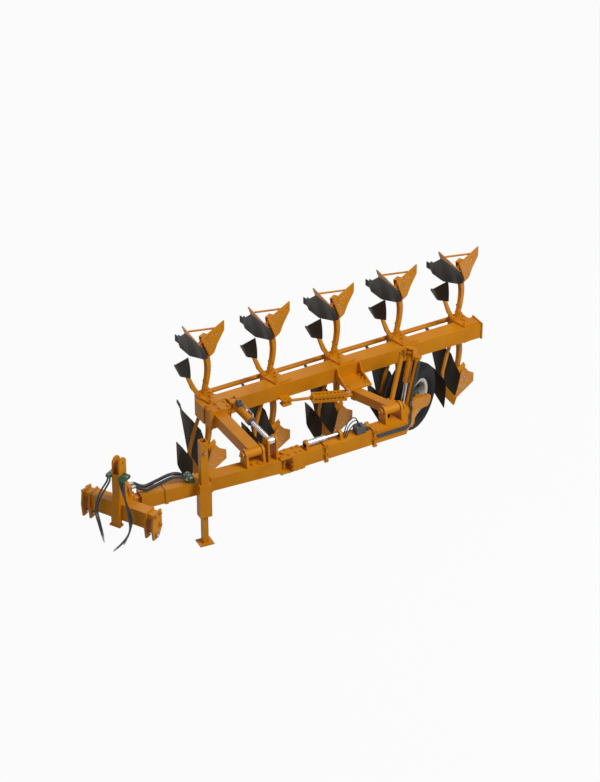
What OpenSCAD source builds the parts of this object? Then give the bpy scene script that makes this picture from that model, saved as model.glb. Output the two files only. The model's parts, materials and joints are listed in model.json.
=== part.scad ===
// Five-furrow semi-mounted reversible plough.
// +X runs along the plough beam to the rear, +Y to the ploughed side, +Z up.
// The plough stands parked on its rear wheel, its stand and its lower shares.

/* [Beam and bodies] */
// Number of furrows
body_count = 5; // [3:1:6]
// Distance between bodies along the beam
spacing = 900; // [850:10:1000]
// Height of the beam's axis, and of the turnover axis, above the shares' points
beam_z = 1000; // [950:10:1050]
// Outer width of the square beam
beam_w = 200; // [180:5:210]
// Wall of the beam
beam_wall = 12; // [8:1:16]
// Angle of the bodies' travel to the beam
travel_angle = 30; // [28:1:32]
// Width of the leg, along the travel
leg_w = 85; // [70:1:95]
// Thickness of the leg
leg_t = 44; // [30:1:50]
// Thickness of mouldboard and share plates
plate_t = 12; // [8:1:14]
// Length of the landside plate
landside_len = 620; // [560:10:660]

/* [Turnover] */
// Distance from the turnover axis to the beam's axis
turn_reach = 1080; // [1060:5:1120]
// Diameter of the turnover pivot pins
turn_pin_d = 70; // [50:1:80]
// Wall of the pivot hubs
hub_wall = 22; // [16:1:26]
// Width of the arms
arm_w = 150; // [120:5:160]
// Height of the arms
arm_h = 150; // [120:5:160]

/* [Carrier] */
// Outer width of the square drawbar and carrier tubes
carrier_w = 180; // [160:5:200]
// Wall of the drawbar and carrier tubes
carrier_wall = 12; // [8:1:16]
// Depth of the carrier's axis below the turnover axis
carrier_drop = 240; // [230:5:260]
// Angle of the drawbar to the carrier
drawbar_angle = 4.8; // [3:0.1:6]

/* [Headstock] */
// Width over the outer clevis plates
headstock_w = 1010; // [960:10:1060]
// Height and depth of the cross tube
cross_tube_w = 150; // [130:5:160]
// Diameter of the lower hitch pins
hitch_pin_d = 36.6; // [28:0.1:40]
// Diameter of the tower's top hole
top_hole_d = 32; // [25.5:0.1:34]
// Height of the tower above the cross tube's axis
tower_h = 730; // [700:10:760]

/* [Wheel] */
// Outer diameter of the tyre
tyre_d = 880; // [840:5:884]
// Width of the tyre
tyre_w = 320; // [280:5:330]
// Diameter of the rim's outer edge
rim_d = 470; // [430:5:500]
// Diameter of the axle
axle_d = 70; // [55:1:80]

/* [Stand] */
// Width of the square stand leg
stand_w = 70; // [60:1:75]

/* [Fits and hoses] */
// Radial running clearance at pivots
running_gap = 0.05; // [0.03:0.01:0.09]
// Diameter of the tractor hoses
hose_d = 22; // [18:1:26]
// Diameter of the hoses along the drawbar
feed_d = 46; // [36:1:50]

/* [Hidden] */
$fn = 48;
orange = "#d9820f";
steel = "dimgray";
chrome = "silver";

// Places along and across the beam
first_leg = [-1120, 380];
beam_x0 = -1265;
beam_len = 3930 + (body_count - 5) * spacing;
beam_y = 200;
turn_y = beam_y - turn_reach;
carrier_z = beam_z - carrier_drop;
front_pivot_x = -1128;
rear_pivot_x = 770;
hinge_x = -750;
carrier_y = -930;
carrier_end = 500;
swivel_reach = 1970;
swivel = [hinge_x - swivel_reach * cos(drawbar_angle), carrier_y + swivel_reach * sin(drawbar_angle)];
frame_shift = [186.23, 70.40, 0];

// A point of the travel frame, turned to the beam's frame
function along(p, u, v) = [p[0] + u * cos(travel_angle) - v * sin(travel_angle),
    p[1] + u * sin(travel_angle) + v * cos(travel_angle)];

module place() { translate(frame_shift) children(); }
// The travel frame at a point, with x to the rear and y to the ploughed side
module at_travel(p, z) { translate([p[0], p[1], z]) rotate(travel_angle) children(); }
module box(x, y, z) { translate([x[0], y[0], z[0]]) cube([x[1] - x[0], y[1] - y[0], z[1] - z[0]]); }
// A rod or a bar from one point to another
module rod(a, b, d) {
    w = b - a;
    l = norm(w);
    translate(a) rotate([0, acos(w[2] / l), atan2(w[1], w[0])]) cylinder(d = d, h = l);
}
module bar(a, b, w, h) {
    d = b - a;
    l = norm(d);
    translate(a) rotate([0, -asin(d[2] / l), atan2(d[1], d[0])])
        translate([0, -w / 2, -h / 2]) cube([l, w, h]);
}
module along_x(x, y, z, d, l) { translate([x, y, z]) rotate([0, 90, 0]) cylinder(d = d, h = l); }
module along_y(x, y, z, d, l) { translate([x, y, z]) rotate([-90, 0, 0]) cylinder(d = d, h = l); }
// Every body, the lower ones and their mirror images above the beam
module each_body() {
    for (i = [0:body_count - 1], side = [0, 1])
        at_travel([first_leg[0] + i * spacing, first_leg[1]], beam_z) mirror([0, 0, side]) children();
}
module each_head() {
    for (i = [0:body_count - 1]) translate([first_leg[0] + i * spacing, 0, beam_z]) children();
}

// Beam and heads
module beam() {
    color(orange) place() difference() {
        box([beam_x0, beam_x0 + beam_len], [beam_y - beam_w / 2, beam_y + beam_w / 2],
            [beam_z - beam_w / 2, beam_z + beam_w / 2]);
        box([beam_x0 - 1, beam_x0 + beam_len + 1],
            [beam_y - beam_w / 2 + beam_wall, beam_y + beam_w / 2 - beam_wall],
            [beam_z - beam_w / 2 + beam_wall, beam_z + beam_w / 2 - beam_wall]);
    }
}
end_plate_t = 15;
end_plate_over = 15;
module beam_ends() {
    half = beam_w / 2 + end_plate_over;
    color(orange) place() for (x = [beam_x0 - end_plate_t, beam_x0 + beam_len])
        box([x, x + end_plate_t], [beam_y - half, beam_y + half], [beam_z - half, beam_z + half]);
}
head_l = 190;
head_tip = 0.92 * head_l;
head_out = 145;
head_over = 22;
beam_far = beam_y + beam_w / 2;
link_d = 60;
link_z = 40;
link_y = beam_far + head_out + link_d / 2 + 8;
ring_l = 60;
ring_wall = 14;
module heads() {
    top = beam_w / 2;
    color(orange) place() each_head() difference() {
        union() {
            box([-head_l / 2, head_l / 2], [beam_far, beam_far + head_out],
                [-top - head_over, top + head_over]);
            for (s = [0, 1]) mirror([0, 0, s]) translate([0, 0, top]) linear_extrude(head_over)
                polygon([[-head_l / 2, beam_far], [head_l / 2, beam_far], [head_tip, beam_y - beam_w * 0.3],
                    [-head_l / 4, beam_y - beam_w * 0.4]]);
            along_x(-ring_l / 2, link_y, link_z, link_d + 2 * ring_wall, ring_l);
        }
        along_x(-ring_l, link_y, link_z, link_d + 2 * running_gap, 2 * ring_l);
    }
}
module link_bar() {
    color(orange) place()
        along_x(first_leg[0] - ring_l, link_y, beam_z + link_z, link_d,
            (body_count - 1) * spacing + 2 * ring_l);
}

// Plough body, drawn below the beam with z from the beam's axis
leg_top = beam_w / 2 + head_over;
leg_bow = 95;
frog_h = 350;
leg_len = beam_z - frog_h - leg_top;
function leg_mid(t) = leg_bow * sin(150 * t);
module legs() {
    steps = 10;
    near = [for (i = [0:steps]) [leg_mid(i / steps) - leg_w / 2, -leg_top - leg_len * i / steps]];
    far = [for (i = [steps:-1:0]) [leg_mid(i / steps) + leg_w / 2, -leg_top - leg_len * i / steps]];
    color(orange) place() each_body()
        rotate([90, 0, 0]) translate([0, 0, -leg_t / 2]) linear_extrude(leg_t) polygon(concat(near, far));
}
// Share point, relative to the leg
point = [-290, -125];
leg_foot = leg_mid(1);
landside_t = 14;
landside_out = 64;
frog_near = -leg_t / 2 - landside_out;
frog_low = 60;
frog_mid = 200;
frog_heel = 45;
frog_toe = 100;
frog_shin = 70;
module frogs() {
    color(orange) place() each_body() union() {
        rotate([90, 0, 0]) translate([0, 0, -leg_t / 2]) linear_extrude(leg_t / 2 - frog_near)
            polygon([[leg_foot - leg_w / 2, -beam_z + frog_h], [leg_foot + leg_w / 2, -beam_z + frog_h],
                [leg_foot + frog_heel, -beam_z + frog_mid], [leg_foot, -beam_z + frog_low],
                [leg_foot - frog_toe, -beam_z + frog_low], [leg_foot - frog_shin, -beam_z + frog_mid]]);
        loft_plate(mould_low, mould_high, mould_hollow, frog_s, mould_t, mould_back * (plate_t + pad_gap),
            [frog_reach, 0, 0]);
    }
}
heel_h = 130;
cheek_h = 240;
bolt_hole = 22;
module landsides() {
    start = point[0] + 110;
    end = point[0] + landside_len;
    color(orange) place() each_body() difference() {
        rotate([90, 0, 0]) translate([0, 0, -frog_near]) linear_extrude(landside_t)
            polygon([[start, -beam_z], [end, -beam_z], [end, -beam_z + heel_h],
                [leg_foot + heel_h, -beam_z + cheek_h], [leg_foot + 50, -beam_z + frog_h - 20],
                [leg_foot - 50, -beam_z + frog_h - 20], [start + 90, -beam_z + 170]]);
        for (u = [end - 60, end - 180])
            along_y(u, frog_near - landside_t - 1, -beam_z + heel_h / 2, bolt_hole, landside_t + 2);
    }
}
// Lofted surface between a low and a high edge: s runs from the shin to the tail, t from low to high.
// Each edge is a list of [s, along the travel, across it, height above the shares' points].
mould_low = [[0, point[0], point[1], 0], [0.5, -40, 268, 0], [0.8, 255, 500, 330], [0.86, 355, 590, 400],
    [0.87, 372, 604, 452], [1, 440, 690, 480]];
mould_high = [[0, -75, -116, 318], [0.2, -20, -10, 395], [0.35, 90, 122, 480], [0.55, 148, 288, 535],
    [0.8, 262, 505, 545], [0.86, 330, 570, 540], [0.87, 345, 582, 552], [1, 400, 665, 570]];
mould_hollow = 38;
mould_back = [0.83, -0.56, 0];
function mix(a, b, t) = a * (1 - t) + b * t;
function seek(e, s, i = 0) = i >= len(e) - 2 || s <= e[i + 1][0] ? i : seek(e, s, i + 1);
function on_edge(e, s) = let(i = seek(e, s), w = (s - e[i][0]) / (e[i + 1][0] - e[i][0]),
    q = mix(e[i], e[i + 1], w)) [q[1], q[2], q[3]];
function on_loft(low, high, hollow, s, t) = mix(on_edge(low, s), on_edge(high, s), t)
    + [hollow * sin(180 * t) * (1 - s), 0, -beam_z];
// A plate that follows the surface between listed places
module loft_plate(low, high, hollow, ss, ts, seat, run) {
    front = [for (s = ss, t = ts) on_loft(low, high, hollow, s, t) + seat];
    rear = [for (p = front) p + run];
    n = len(front);
    w = len(ts);
    ns = len(ss) - 1;
    nt = w - 1;
    quads = [for (i = [0:ns - 1], j = [0:nt - 1]) let(a = i * w + j) [a, a + 1, a + w + 1, a + w]];
    edge = concat([for (j = [0:nt]) j], [for (i = [1:ns]) i * w + nt], [for (j = [nt - 1:-1:0]) ns * w + j],
        [for (i = [ns - 1:-1:1]) i * w]);
    m = len(edge);
    faces = concat(
        [for (q = quads) [q[2], q[1], q[0]]], [for (q = quads) [q[3], q[2], q[0]]],
        [for (q = quads) [q[0] + n, q[1] + n, q[2] + n]], [for (q = quads) [q[0] + n, q[2] + n, q[3] + n]],
        [for (k = [0:m - 1]) [edge[(k + 1) % m] + n, edge[k] + n, edge[k]]],
        [for (k = [0:m - 1]) [edge[(k + 1) % m], edge[(k + 1) % m] + n, edge[k]]]);
    polyhedron(points = concat(front, rear), faces = faces);
}
share_rise = 0.24;
seam = 0.0015;
mould_s = [0.02, 0.08, 0.15, 0.2, 0.27, 0.35, 0.45, 0.5, 0.55, 0.63, 0.72, 0.8, 0.86, 0.87, 1];
mould_t = [for (j = [0:5]) mix(share_rise + seam, 1, j / 5)];
share_s = [-0.03, 0.02, 0.08, 0.15, 0.2, 0.27, 0.35, 0.45, 0.5, 0.52];
// The frog's front pad lies just behind the mouldboard
frog_s = [0.08, 0.15];
pad_gap = 0.6;
frog_reach = 170;
module mouldboards() {
    color("#2c2a2b") place() each_body()
        loft_plate(mould_low, mould_high, mould_hollow, mould_s, mould_t, [0, 0, 0], mould_back * plate_t);
}
module shares() {
    color(orange) place() each_body()
        loft_plate(mould_low, mould_high, mould_hollow, share_s, [0, share_rise], [0, 0, 0],
            mould_back * plate_t);
}
stay_d = 24;
stay_s = 0.42;
stay_z = -beam_z + 40;
module stays() {
    a = on_loft(mould_low, mould_high, mould_hollow, stay_s, share_rise / 2)
        + mould_back * (plate_t + stay_d / 2);
    b = [point[0] + landside_len - 130, frog_near, stay_z];
    color(steel) place() each_body() difference() {
        rod(a, mix(a, b, 1.1), stay_d);
        box([b[0] - landside_len, b[0] + landside_len], [frog_near - landside_len, frog_near],
            [-2 * beam_z, 0]);
    }
}
// Skimmers, small bodies ahead of each share
skim_low = [[0, -515, -122, 67], [0.55, -459, 108, 280], [1, -250, 255, 425]];
skim_high = [[0, -433, -93, 410], [0.55, -359, 101, 490], [1, -243, 261, 452]];
skim_s = [0, 0.14, 0.26, 0.34, 0.55, 0.75, 1];
skim_span = [0, 0.35, 0.45, 0.8, 1];
skim_pad = [0.45, 0.8];
skim_pad_s = [0.26, 0.34];
skim_hollow = 14;
skim_t = 10;
skim_reach = 75;
stalk_w = 60;
stalk_t = 24;
stalk_front = -95;
module skimmer_stalks() {
    far = stalk_front + stalk_w / 2;
    near = stalk_front - stalk_w / 2;
    color(orange) place() each_body() union() {
        rotate([90, 0, 0]) translate([0, 0, -stalk_t / 2]) linear_extrude(stalk_t)
            polygon([[near, -leg_top], [far, -leg_top], [far - 140, -leg_top - 200],
                [far - 250, -leg_top - 400], [far - 275, -leg_top - 560], [near - 260, -leg_top - 530],
                [near - 245, -leg_top - 400], [near - 150, -leg_top - 200]]);
        loft_plate(skim_low, skim_high, skim_hollow, skim_pad_s, skim_pad, mould_back * (skim_t + pad_gap),
            [skim_reach, 0, 0]);
    }
}
module skimmers() {
    color("#2c2a2b") place() each_body()
        loft_plate(skim_low, skim_high, skim_hollow, skim_s, skim_span, [0, 0, 0], mould_back * skim_t);
}

// Turning arms, which carry the beam from the pivots
hub_d = turn_pin_d + 2 * hub_wall;
hub_l = 180;
arm_end_y = beam_y - beam_w / 2;
arm_head_x = [beam_x0 + 2, front_pivot_x + arm_w];
arm_head_l = 160;
arm_plate_t = 20;
arm_plate_over = 15;
module hub(x, y) {
    along_x(x - hub_l / 2, y, beam_z, hub_d, hub_l);
}
module front_arm() {
    color(orange) place() difference() {
        union() {
            hub(front_pivot_x, turn_y);
            box([front_pivot_x - arm_w / 2, front_pivot_x + arm_w / 2], [turn_y, arm_end_y],
                [beam_z - arm_h / 2, beam_z + arm_h / 2]);
            box(arm_head_x, [arm_end_y - arm_head_l, arm_end_y], [beam_z - beam_w / 2, beam_z + beam_w / 2]);
            for (s = [-1, 1]) translate([0, 0, beam_z + s * (beam_w + arm_plate_t) / 2])
                box(arm_head_x, [arm_end_y - arm_head_l, arm_end_y + arm_plate_over],
                    [-arm_plate_t / 2, arm_plate_t / 2]);
        }
        along_x(front_pivot_x - hub_l, turn_y, beam_z, turn_pin_d + 2 * running_gap, 2 * hub_l);
    }
}
rear_block = [690, -150];
rear_block_z = beam_z - 160;
rear_block_d = 110;
rear_block_h = 150;
block_pin_d = 50;
module rear_arm() {
    color(orange) place() difference() {
        union() {
            hub(rear_pivot_x, turn_y);
            bar([rear_pivot_x, turn_y, beam_z], [rear_block[0], rear_block[1], rear_block_z],
                arm_w * 0.8, arm_h * 0.8);
            translate([rear_block[0], rear_block[1], rear_block_z - rear_block_h / 2])
                cylinder(d = rear_block_d, h = rear_block_h);
        }
        along_x(rear_pivot_x - hub_l, turn_y, beam_z, turn_pin_d + 2 * running_gap, 2 * hub_l);
        translate([rear_block[0], rear_block[1], 0]) cylinder(d = block_pin_d, h = 2 * beam_z);
    }
}
console_t = 20;
console_x = [rear_block[0] - 130, rear_block[0] + 190];
module rear_console() {
    low = rear_block_z + rear_block_h / 2;
    near = beam_y - beam_w / 2;
    color(orange) place() union() {
        for (x = console_x)
            translate([x, 0, 0]) rotate([90, 0, 90]) linear_extrude(console_t)
                polygon([[near, beam_z + 90], [near, low], [rear_block[1] - 40, low],
                    [rear_block[1] - 40, low + console_t], [near - 60, beam_z + 20],
                    [near - 40, beam_z + 90]]);
        box([console_x[0], console_x[1] + console_t], [rear_block[1] - 50, near], [low, low + console_t]);
        translate([rear_block[0], rear_block[1], low - rear_block_h - 25])
            cylinder(d = block_pin_d - 2 * running_gap, h = rear_block_h + 30);
    }
}
// Cylinder that sets the beam's angle, in a perforated guard
guard_a = [120, -35, beam_z - 120];
guard_b = [600, -170, beam_z - 150];
guard_w = 100;
guard_in = 20;
width_d = 60;
width_over = 1.08;
seat_gap = 0.3;
width_eye = [-180, 30, beam_z - 105];
module width_cylinder() {
    near = beam_y - beam_w / 2;
    color(orange) place() union() {
        difference() {
            rod(guard_a, mix(guard_a, guard_b, width_over), width_d);
            translate([rear_block[0], rear_block[1], 0])
                cylinder(d = rear_block_d + 2 * seat_gap, h = 2 * beam_z);
            bar([rear_pivot_x, turn_y, beam_z], [rear_block[0], rear_block[1], rear_block_z],
                arm_w * 0.8 + 2 * seat_gap, arm_h * 0.8 + 2 * seat_gap);
        }
        box([width_eye[0] - 60, width_eye[0] + 60], [width_eye[1] - 40, near], [beam_z - 90, beam_z - 65]);
        box([width_eye[0] - 60, width_eye[0] + 60], [width_eye[1] - 40, near - 20],
            [beam_z - 155, beam_z - 130]);
        translate([width_eye[0], width_eye[1], beam_z - 175]) cylinder(d = 40, h = 115);
        rod(width_eye, guard_a, 36);
    }
}
module cylinder_guard() {
    t = 6;
    dir = guard_b - guard_a;
    l = norm(dir);
    pitch = 48;
    color(orange) place() translate(guard_a) rotate([0, -asin(dir[2] / l), atan2(dir[1], dir[0])])
        difference() {
            translate([guard_in, -guard_w / 2, -guard_w / 2]) cube([l - 3 * guard_in, guard_w, guard_w]);
            translate([guard_in + t, -guard_w / 2 + t, -guard_w / 2 + t])
                cube([l, guard_w - 2 * t, guard_w - 2 * t]);
            rotate([0, 90, 0]) cylinder(d = width_d + 2 * seat_gap, h = l);
            for (i = [1:floor((l - 90) / pitch)]) translate([guard_in + i * pitch, 0, 0]) {
                rotate([90, 0, 0]) cylinder(d = 26, h = 2 * guard_w, center = true);
                cylinder(d = 26, h = 2 * guard_w, center = true);
            }
        }
}

// Turnover cylinder beside the front arm
turn_cyl_x = -905;
turn_cyl_z = beam_z + 100;
turn_cyl_pin_y = 30;
turn_eye_y = turn_y - 20;
turn_barrel_d = 105;
turn_rod_d = 60;
eye_w = 70;
turn_rod_y = -430;
turn_eye_d = 96;
lug_pin_d = 45;
lug_t = 18;
lug_in = eye_w / 2 + 6;
rod_seat = 60;
barrel_back = 75;
rod_fit = 0.2;
open_eye = 4;
// Lugs on the beam's near side, which hold the barrel's pin
module turnover_lugs() {
    near = arm_end_y;
    color(orange) place() union() {
        for (x = [turn_cyl_x - lug_in - lug_t, turn_cyl_x + lug_in]) translate([x, 0, 0])
            rotate([90, 0, 90]) linear_extrude(lug_t)
                polygon([[near, beam_z - 20], [near, beam_z + beam_w / 2], [near + 15, beam_z + beam_w / 2],
                    [near + 15, turn_cyl_z + 35], [turn_cyl_pin_y + 30, turn_cyl_z + 60],
                    [turn_cyl_pin_y - 30, turn_cyl_z + 50], [turn_cyl_pin_y - 55, turn_cyl_z],
                    [turn_cyl_pin_y - 30, turn_cyl_z - 50]]);
        along_x(turn_cyl_x - lug_in - lug_t, turn_cyl_pin_y, turn_cyl_z, lug_pin_d, 2 * (lug_in + lug_t));
    }
}
module turnover_barrel() {
    color(orange) place() difference() {
        union() {
            along_y(turn_cyl_x, turn_rod_y, turn_cyl_z, turn_barrel_d,
                turn_cyl_pin_y - turn_rod_y - barrel_back);
            along_y(turn_cyl_x, turn_cyl_pin_y - barrel_back, turn_cyl_z, eye_w - 4, barrel_back);
            along_y(turn_cyl_x, turn_rod_y, turn_cyl_z, turn_barrel_d + 14, rod_seat);
            along_x(turn_cyl_x - eye_w / 2, turn_cyl_pin_y, turn_cyl_z, turn_eye_d, eye_w);
        }
        along_x(turn_cyl_x - eye_w, turn_cyl_pin_y, turn_cyl_z, lug_pin_d + 2 * running_gap, 2 * eye_w);
        along_y(turn_cyl_x, turn_rod_y - 1, turn_cyl_z, turn_rod_d + 2 * rod_fit, rod_seat + 1);
    }
}
module turnover_rod() {
    color(chrome) place() difference() {
        union() {
            along_y(turn_cyl_x, turn_eye_y, turn_cyl_z, turn_rod_d, turn_rod_y + rod_seat - turn_eye_y);
            along_x(turn_cyl_x - eye_w / 2, turn_eye_y, turn_cyl_z, turn_eye_d, eye_w);
        }
        along_x(turn_cyl_x - eye_w, turn_eye_y, turn_cyl_z, lug_pin_d + 2 * open_eye, 2 * eye_w);
    }
}

// Carrier and drawbar
module square_tube(x, w, wall) {
    difference() {
        box(x, [-w / 2, w / 2], [-w / 2, w / 2]);
        box([x[0] - 1, x[1] + 1], [-w / 2 + wall, w / 2 - wall], [-w / 2 + wall, w / 2 - wall]);
    }
}
hinge_gap = 60;
module carrier_tube() {
    color(orange) place() translate([0, carrier_y, carrier_z])
        square_tube([hinge_x + hinge_gap + hinge_end, carrier_end], carrier_w, carrier_wall);
}
collar_t = 24;
collar_over = 22;
collar_x = [-230, carrier_end - 60];
module carrier_collars() {
    half = carrier_w / 2;
    out = half + collar_over;
    color(orange) place() translate([0, carrier_y, carrier_z]) for (x = collar_x) difference() {
        box([x, x + collar_t], [-out, out], [-out, out]);
        box([x - 1, x + collar_t + 1], [-half, half], [-half, half]);
    }
}
module at_drawbar() {
    translate([hinge_x, carrier_y, carrier_z]) rotate(180 - drawbar_angle) children();
}
module drawbar() {
    color(orange) place() at_drawbar()
        square_tube([hinge_gap, swivel_reach - tongue_l], carrier_w, carrier_wall);
}
hinge_plate_t = 24;
hinge_pin_d = 60;
hinge_plate_x = [-80, 250];
hinge_end = 40;
module mid_hinge() {
    half = carrier_w / 2;
    color(orange) place() translate([hinge_x, carrier_y, carrier_z]) union() {
        for (s = [-1, 1]) translate([0, 0, s * (half + hinge_plate_t / 2)])
            box(hinge_plate_x, [-half, half], [-hinge_plate_t / 2, hinge_plate_t / 2]);
        cylinder(d = hinge_pin_d, h = carrier_w + 2 * hinge_plate_t + 60, center = true);
        box([hinge_gap + hinge_end - 24, hinge_gap + hinge_end], [-half - 20, half + 20], [-half, half]);
    }
}
ear_t = 30;
ear_in = hub_l / 2 + 6;
module ear(x, y) {
    translate([x, y, 0]) rotate([90, 0, 90]) linear_extrude(ear_t) difference() {
        union() {
            translate([0, beam_z]) circle(d = turn_pin_d + 70);
            polygon([[-carrier_w / 2, carrier_z + carrier_w / 2], [carrier_w / 2, carrier_z + carrier_w / 2],
                [turn_pin_d / 2 + 30, beam_z], [-turn_pin_d / 2 - 30, beam_z]]);
        }
        translate([0, beam_z]) circle(d = turn_pin_d + 2 * running_gap);
    }
}
module front_bracket() {
    color(orange) place() union() {
        for (x = [front_pivot_x - ear_in - ear_t, front_pivot_x + ear_in]) ear(x, turn_y);
        box([front_pivot_x - ear_in - ear_t, front_pivot_x + ear_in + ear_t],
            [turn_y - carrier_w / 2, turn_y + carrier_w / 2],
            [carrier_z + carrier_w / 2, carrier_z + carrier_w / 2 + 20]);
    }
}
module turnover_pins() {
    l = 2 * (ear_in + ear_t) + 40;
    color(chrome) place() for (x = [front_pivot_x, rear_pivot_x])
        along_x(x - l / 2, turn_y, beam_z, turn_pin_d, l);
}
// Fork above the turnover axis, open upwards for the rod's eye
fork_in = eye_w / 2 + 8;
fork_t = 22;
stub_in = 3;
stub_l = 40;
module turnover_fork() {
    base = carrier_z + carrier_w / 2;
    color(orange) place() union() {
        for (x = [turn_cyl_x - fork_in - fork_t, turn_cyl_x + fork_in]) translate([x, turn_y, 0])
            rotate([90, 0, 90]) linear_extrude(fork_t)
                polygon([[-90, base], [90, base], [50, turn_cyl_z + 30], [20, turn_cyl_z + 50],
                    [-60, turn_cyl_z + 50], [-80, turn_cyl_z + 20]]);
        for (s = [-1, 1]) along_x(turn_cyl_x + s * (fork_in - stub_in) - (s > 0 ? 0 : stub_l), turn_eye_y,
            turn_cyl_z, lug_pin_d, stub_l);
    }
}
carrier_cyl_z = carrier_z + carrier_w / 2 + 70;
carrier_cyl = [-440, 20];
module carrier_cylinder() {
    base = carrier_z + carrier_w / 2;
    color(chrome) place() union() {
        for (x = carrier_cyl) box([x - 20, x + 20], [carrier_y - 50, carrier_y + 50], [base, base + 110]);
        along_x(carrier_cyl[0] + 20, carrier_y, carrier_cyl_z, 75, 260);
        along_x(carrier_cyl[0] + 20, carrier_y, carrier_cyl_z, 40, carrier_cyl[1] - carrier_cyl[0] - 30);
    }
}
module valve_box() {
    base = carrier_z + carrier_w / 2;
    color("gray") place() union() {
        box([230, 350], [carrier_y - 60, carrier_y + 50], [base, base + 95]);
        translate([395, carrier_y, base]) cylinder(d = 70, h = 60);
    }
}

// Rear cart and wheel, in the travel frame at the wheel's centre
wheel_c = [1578, 13];
wheel_r = tyre_d / 2;
arm_pivot_u = -800;
arm_in = -tyre_w / 2 - 40;
wheel_arm_t = 60;
arm_pivot_z = 640;
arm_pin_d = 70;
housing_l = 210;
housing_v = arm_in - wheel_arm_t - 6;
cart_end = rear_pivot_x + ear_in + ear_t + 14;
cross_u = [-860, -690];
cross_v = [-476, -70];
// Neck from the carrier's end to the cross member
neck_z = [690, 800];
neck_lap = 120;
cross_z = [720, 800];
module cart_frame() {
    color(orange) place() difference() {
        union() {
            box([carrier_end, cart_end], [carrier_y - carrier_w / 2, carrier_y + carrier_w / 2],
                [carrier_z - carrier_w / 2, carrier_z + carrier_w / 2 - 1]);
            for (x = [rear_pivot_x - ear_in - ear_t, rear_pivot_x + ear_in]) ear(x, turn_y);
            translate([0, 0, neck_z[0]]) linear_extrude(neck_z[1] - neck_z[0])
                polygon([[cart_end - 1, carrier_y - carrier_w / 2], along(wheel_c, cross_u[1], cross_v[0]),
                    along(wheel_c, cross_u[1], cross_v[0] + neck_lap),
                    along(wheel_c, cross_u[0], cross_v[0] + neck_lap),
                    [cart_end - 1, carrier_y + carrier_w / 2]]);
            at_travel(wheel_c, 0) {
                box(cross_u, cross_v, cross_z);
                box([cross_u[0], arm_pivot_u + 60], [housing_v - housing_l, housing_v - 6],
                    [arm_pivot_z, cross_z[0]]);
                along_y(arm_pivot_u, housing_v - housing_l, arm_pivot_z, arm_pin_d + 50, housing_l);
            }
        }
        at_travel(wheel_c, arm_pivot_z)
            along_y(arm_pivot_u, housing_v - 2 * housing_l, 0, arm_pin_d + 2 * running_gap, 3 * housing_l);
    }
}
hub_v = 40;
// Lift cylinder, from the mast's top to the wheel arm
lift_v = arm_in - wheel_arm_t / 2;
lift_top = [-420, lift_v, 1360];
lift_low = [-620, lift_v, 700];
lift_barrel_d = 84;
lift_rod_d = 44;
lift_pin_d = 30;
lift_eye_d = 60;
lift_eye_w = 28;
lift_lug_t = 14;
lift_lug_r = 28;
lift_split = 0.55;
lift_seat = 0.06;
lift_neck = 0.94;
module wheel_arm() {
    color(orange) place() at_travel(wheel_c, 0) union() {
        difference() {
            translate([0, arm_in, 0]) rotate([90, 0, 0]) linear_extrude(wheel_arm_t) union() {
                translate([arm_pivot_u, arm_pivot_z]) circle(d = 150);
                translate([0, wheel_r]) circle(d = 160);
                polygon([[arm_pivot_u, arm_pivot_z - 70], [0, wheel_r - 75], [0, wheel_r + 75],
                    [-300, wheel_r + 190], [arm_pivot_u, arm_pivot_z + 70]]);
                translate([lift_low[0], lift_low[2]]) circle(r = lift_lug_r);
                translate([lift_low[0] - lift_lug_r, arm_pivot_z])
                    square([2 * lift_lug_r, lift_low[2] - arm_pivot_z]);
            }
            along_y(lift_low[0], arm_in - wheel_arm_t + lift_lug_t, lift_low[2], lift_eye_d + 20,
                wheel_arm_t - 2 * lift_lug_t);
        }
        along_y(lift_low[0], arm_in - wheel_arm_t - 4, lift_low[2], lift_pin_d, wheel_arm_t + 8);
        along_y(arm_pivot_u, housing_v - housing_l - 6, arm_pivot_z, arm_pin_d, housing_l + 20);
        along_y(0, arm_in, wheel_r, axle_d, -arm_in + hub_v + 40);
    }
}
rim_half = 0.36 * tyre_w;
module tyre() {
    half = tyre_w / 2;
    r0 = rim_d / 2;
    bead = r0 + seat_gap;
    seat = rim_half - seat_gap;
    color("#1b1b1b") place() at_travel(wheel_c, wheel_r) rotate([90, 0, 0]) rotate_extrude($fn = 96)
        polygon([[bead, -seat], [r0 + 14, -seat], [r0 + 48, -half * 0.92], [wheel_r - 90, -half],
            [wheel_r - 35, -half * 0.93], [wheel_r, -half * 0.62], [wheel_r, half * 0.62],
            [wheel_r - 35, half * 0.93], [wheel_r - 90, half], [r0 + 48, half * 0.92], [r0 + 14, seat],
            [bead, seat]]);
}
module rim() {
    half = rim_half;
    r0 = rim_d / 2;
    color("lightgray") place() at_travel(wheel_c, wheel_r) rotate([90, 0, 0]) difference() {
        rotate_extrude($fn = 96) polygon([[0, -hub_v], [100, -hub_v], [130, 10], [r0 - 30, 10],
            [r0 - 30, -half], [r0 + 12, -half - 6], [r0 + 12, -half], [r0, -half], [r0, half], [r0 + 12, half],
            [r0 + 12, half + 6],
            [r0 - 30, half], [r0 - 30, 26], [120, 26], [90, 90], [0, 90]]);
        translate([0, 0, -tyre_w]) cylinder(d = axle_d + 2 * running_gap, h = 2 * tyre_w);
    }
}
mast_v = [-340, -120];
mast_d = 60;
mast_foot = [-700, 760];
mast_head = [-440, 1330];
mast_lug_v = [-292, -182];
mast_lug_t = 14;
top_pin_d = 40;
top_eye_d = 76;
top_eye_w = 60;
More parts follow.
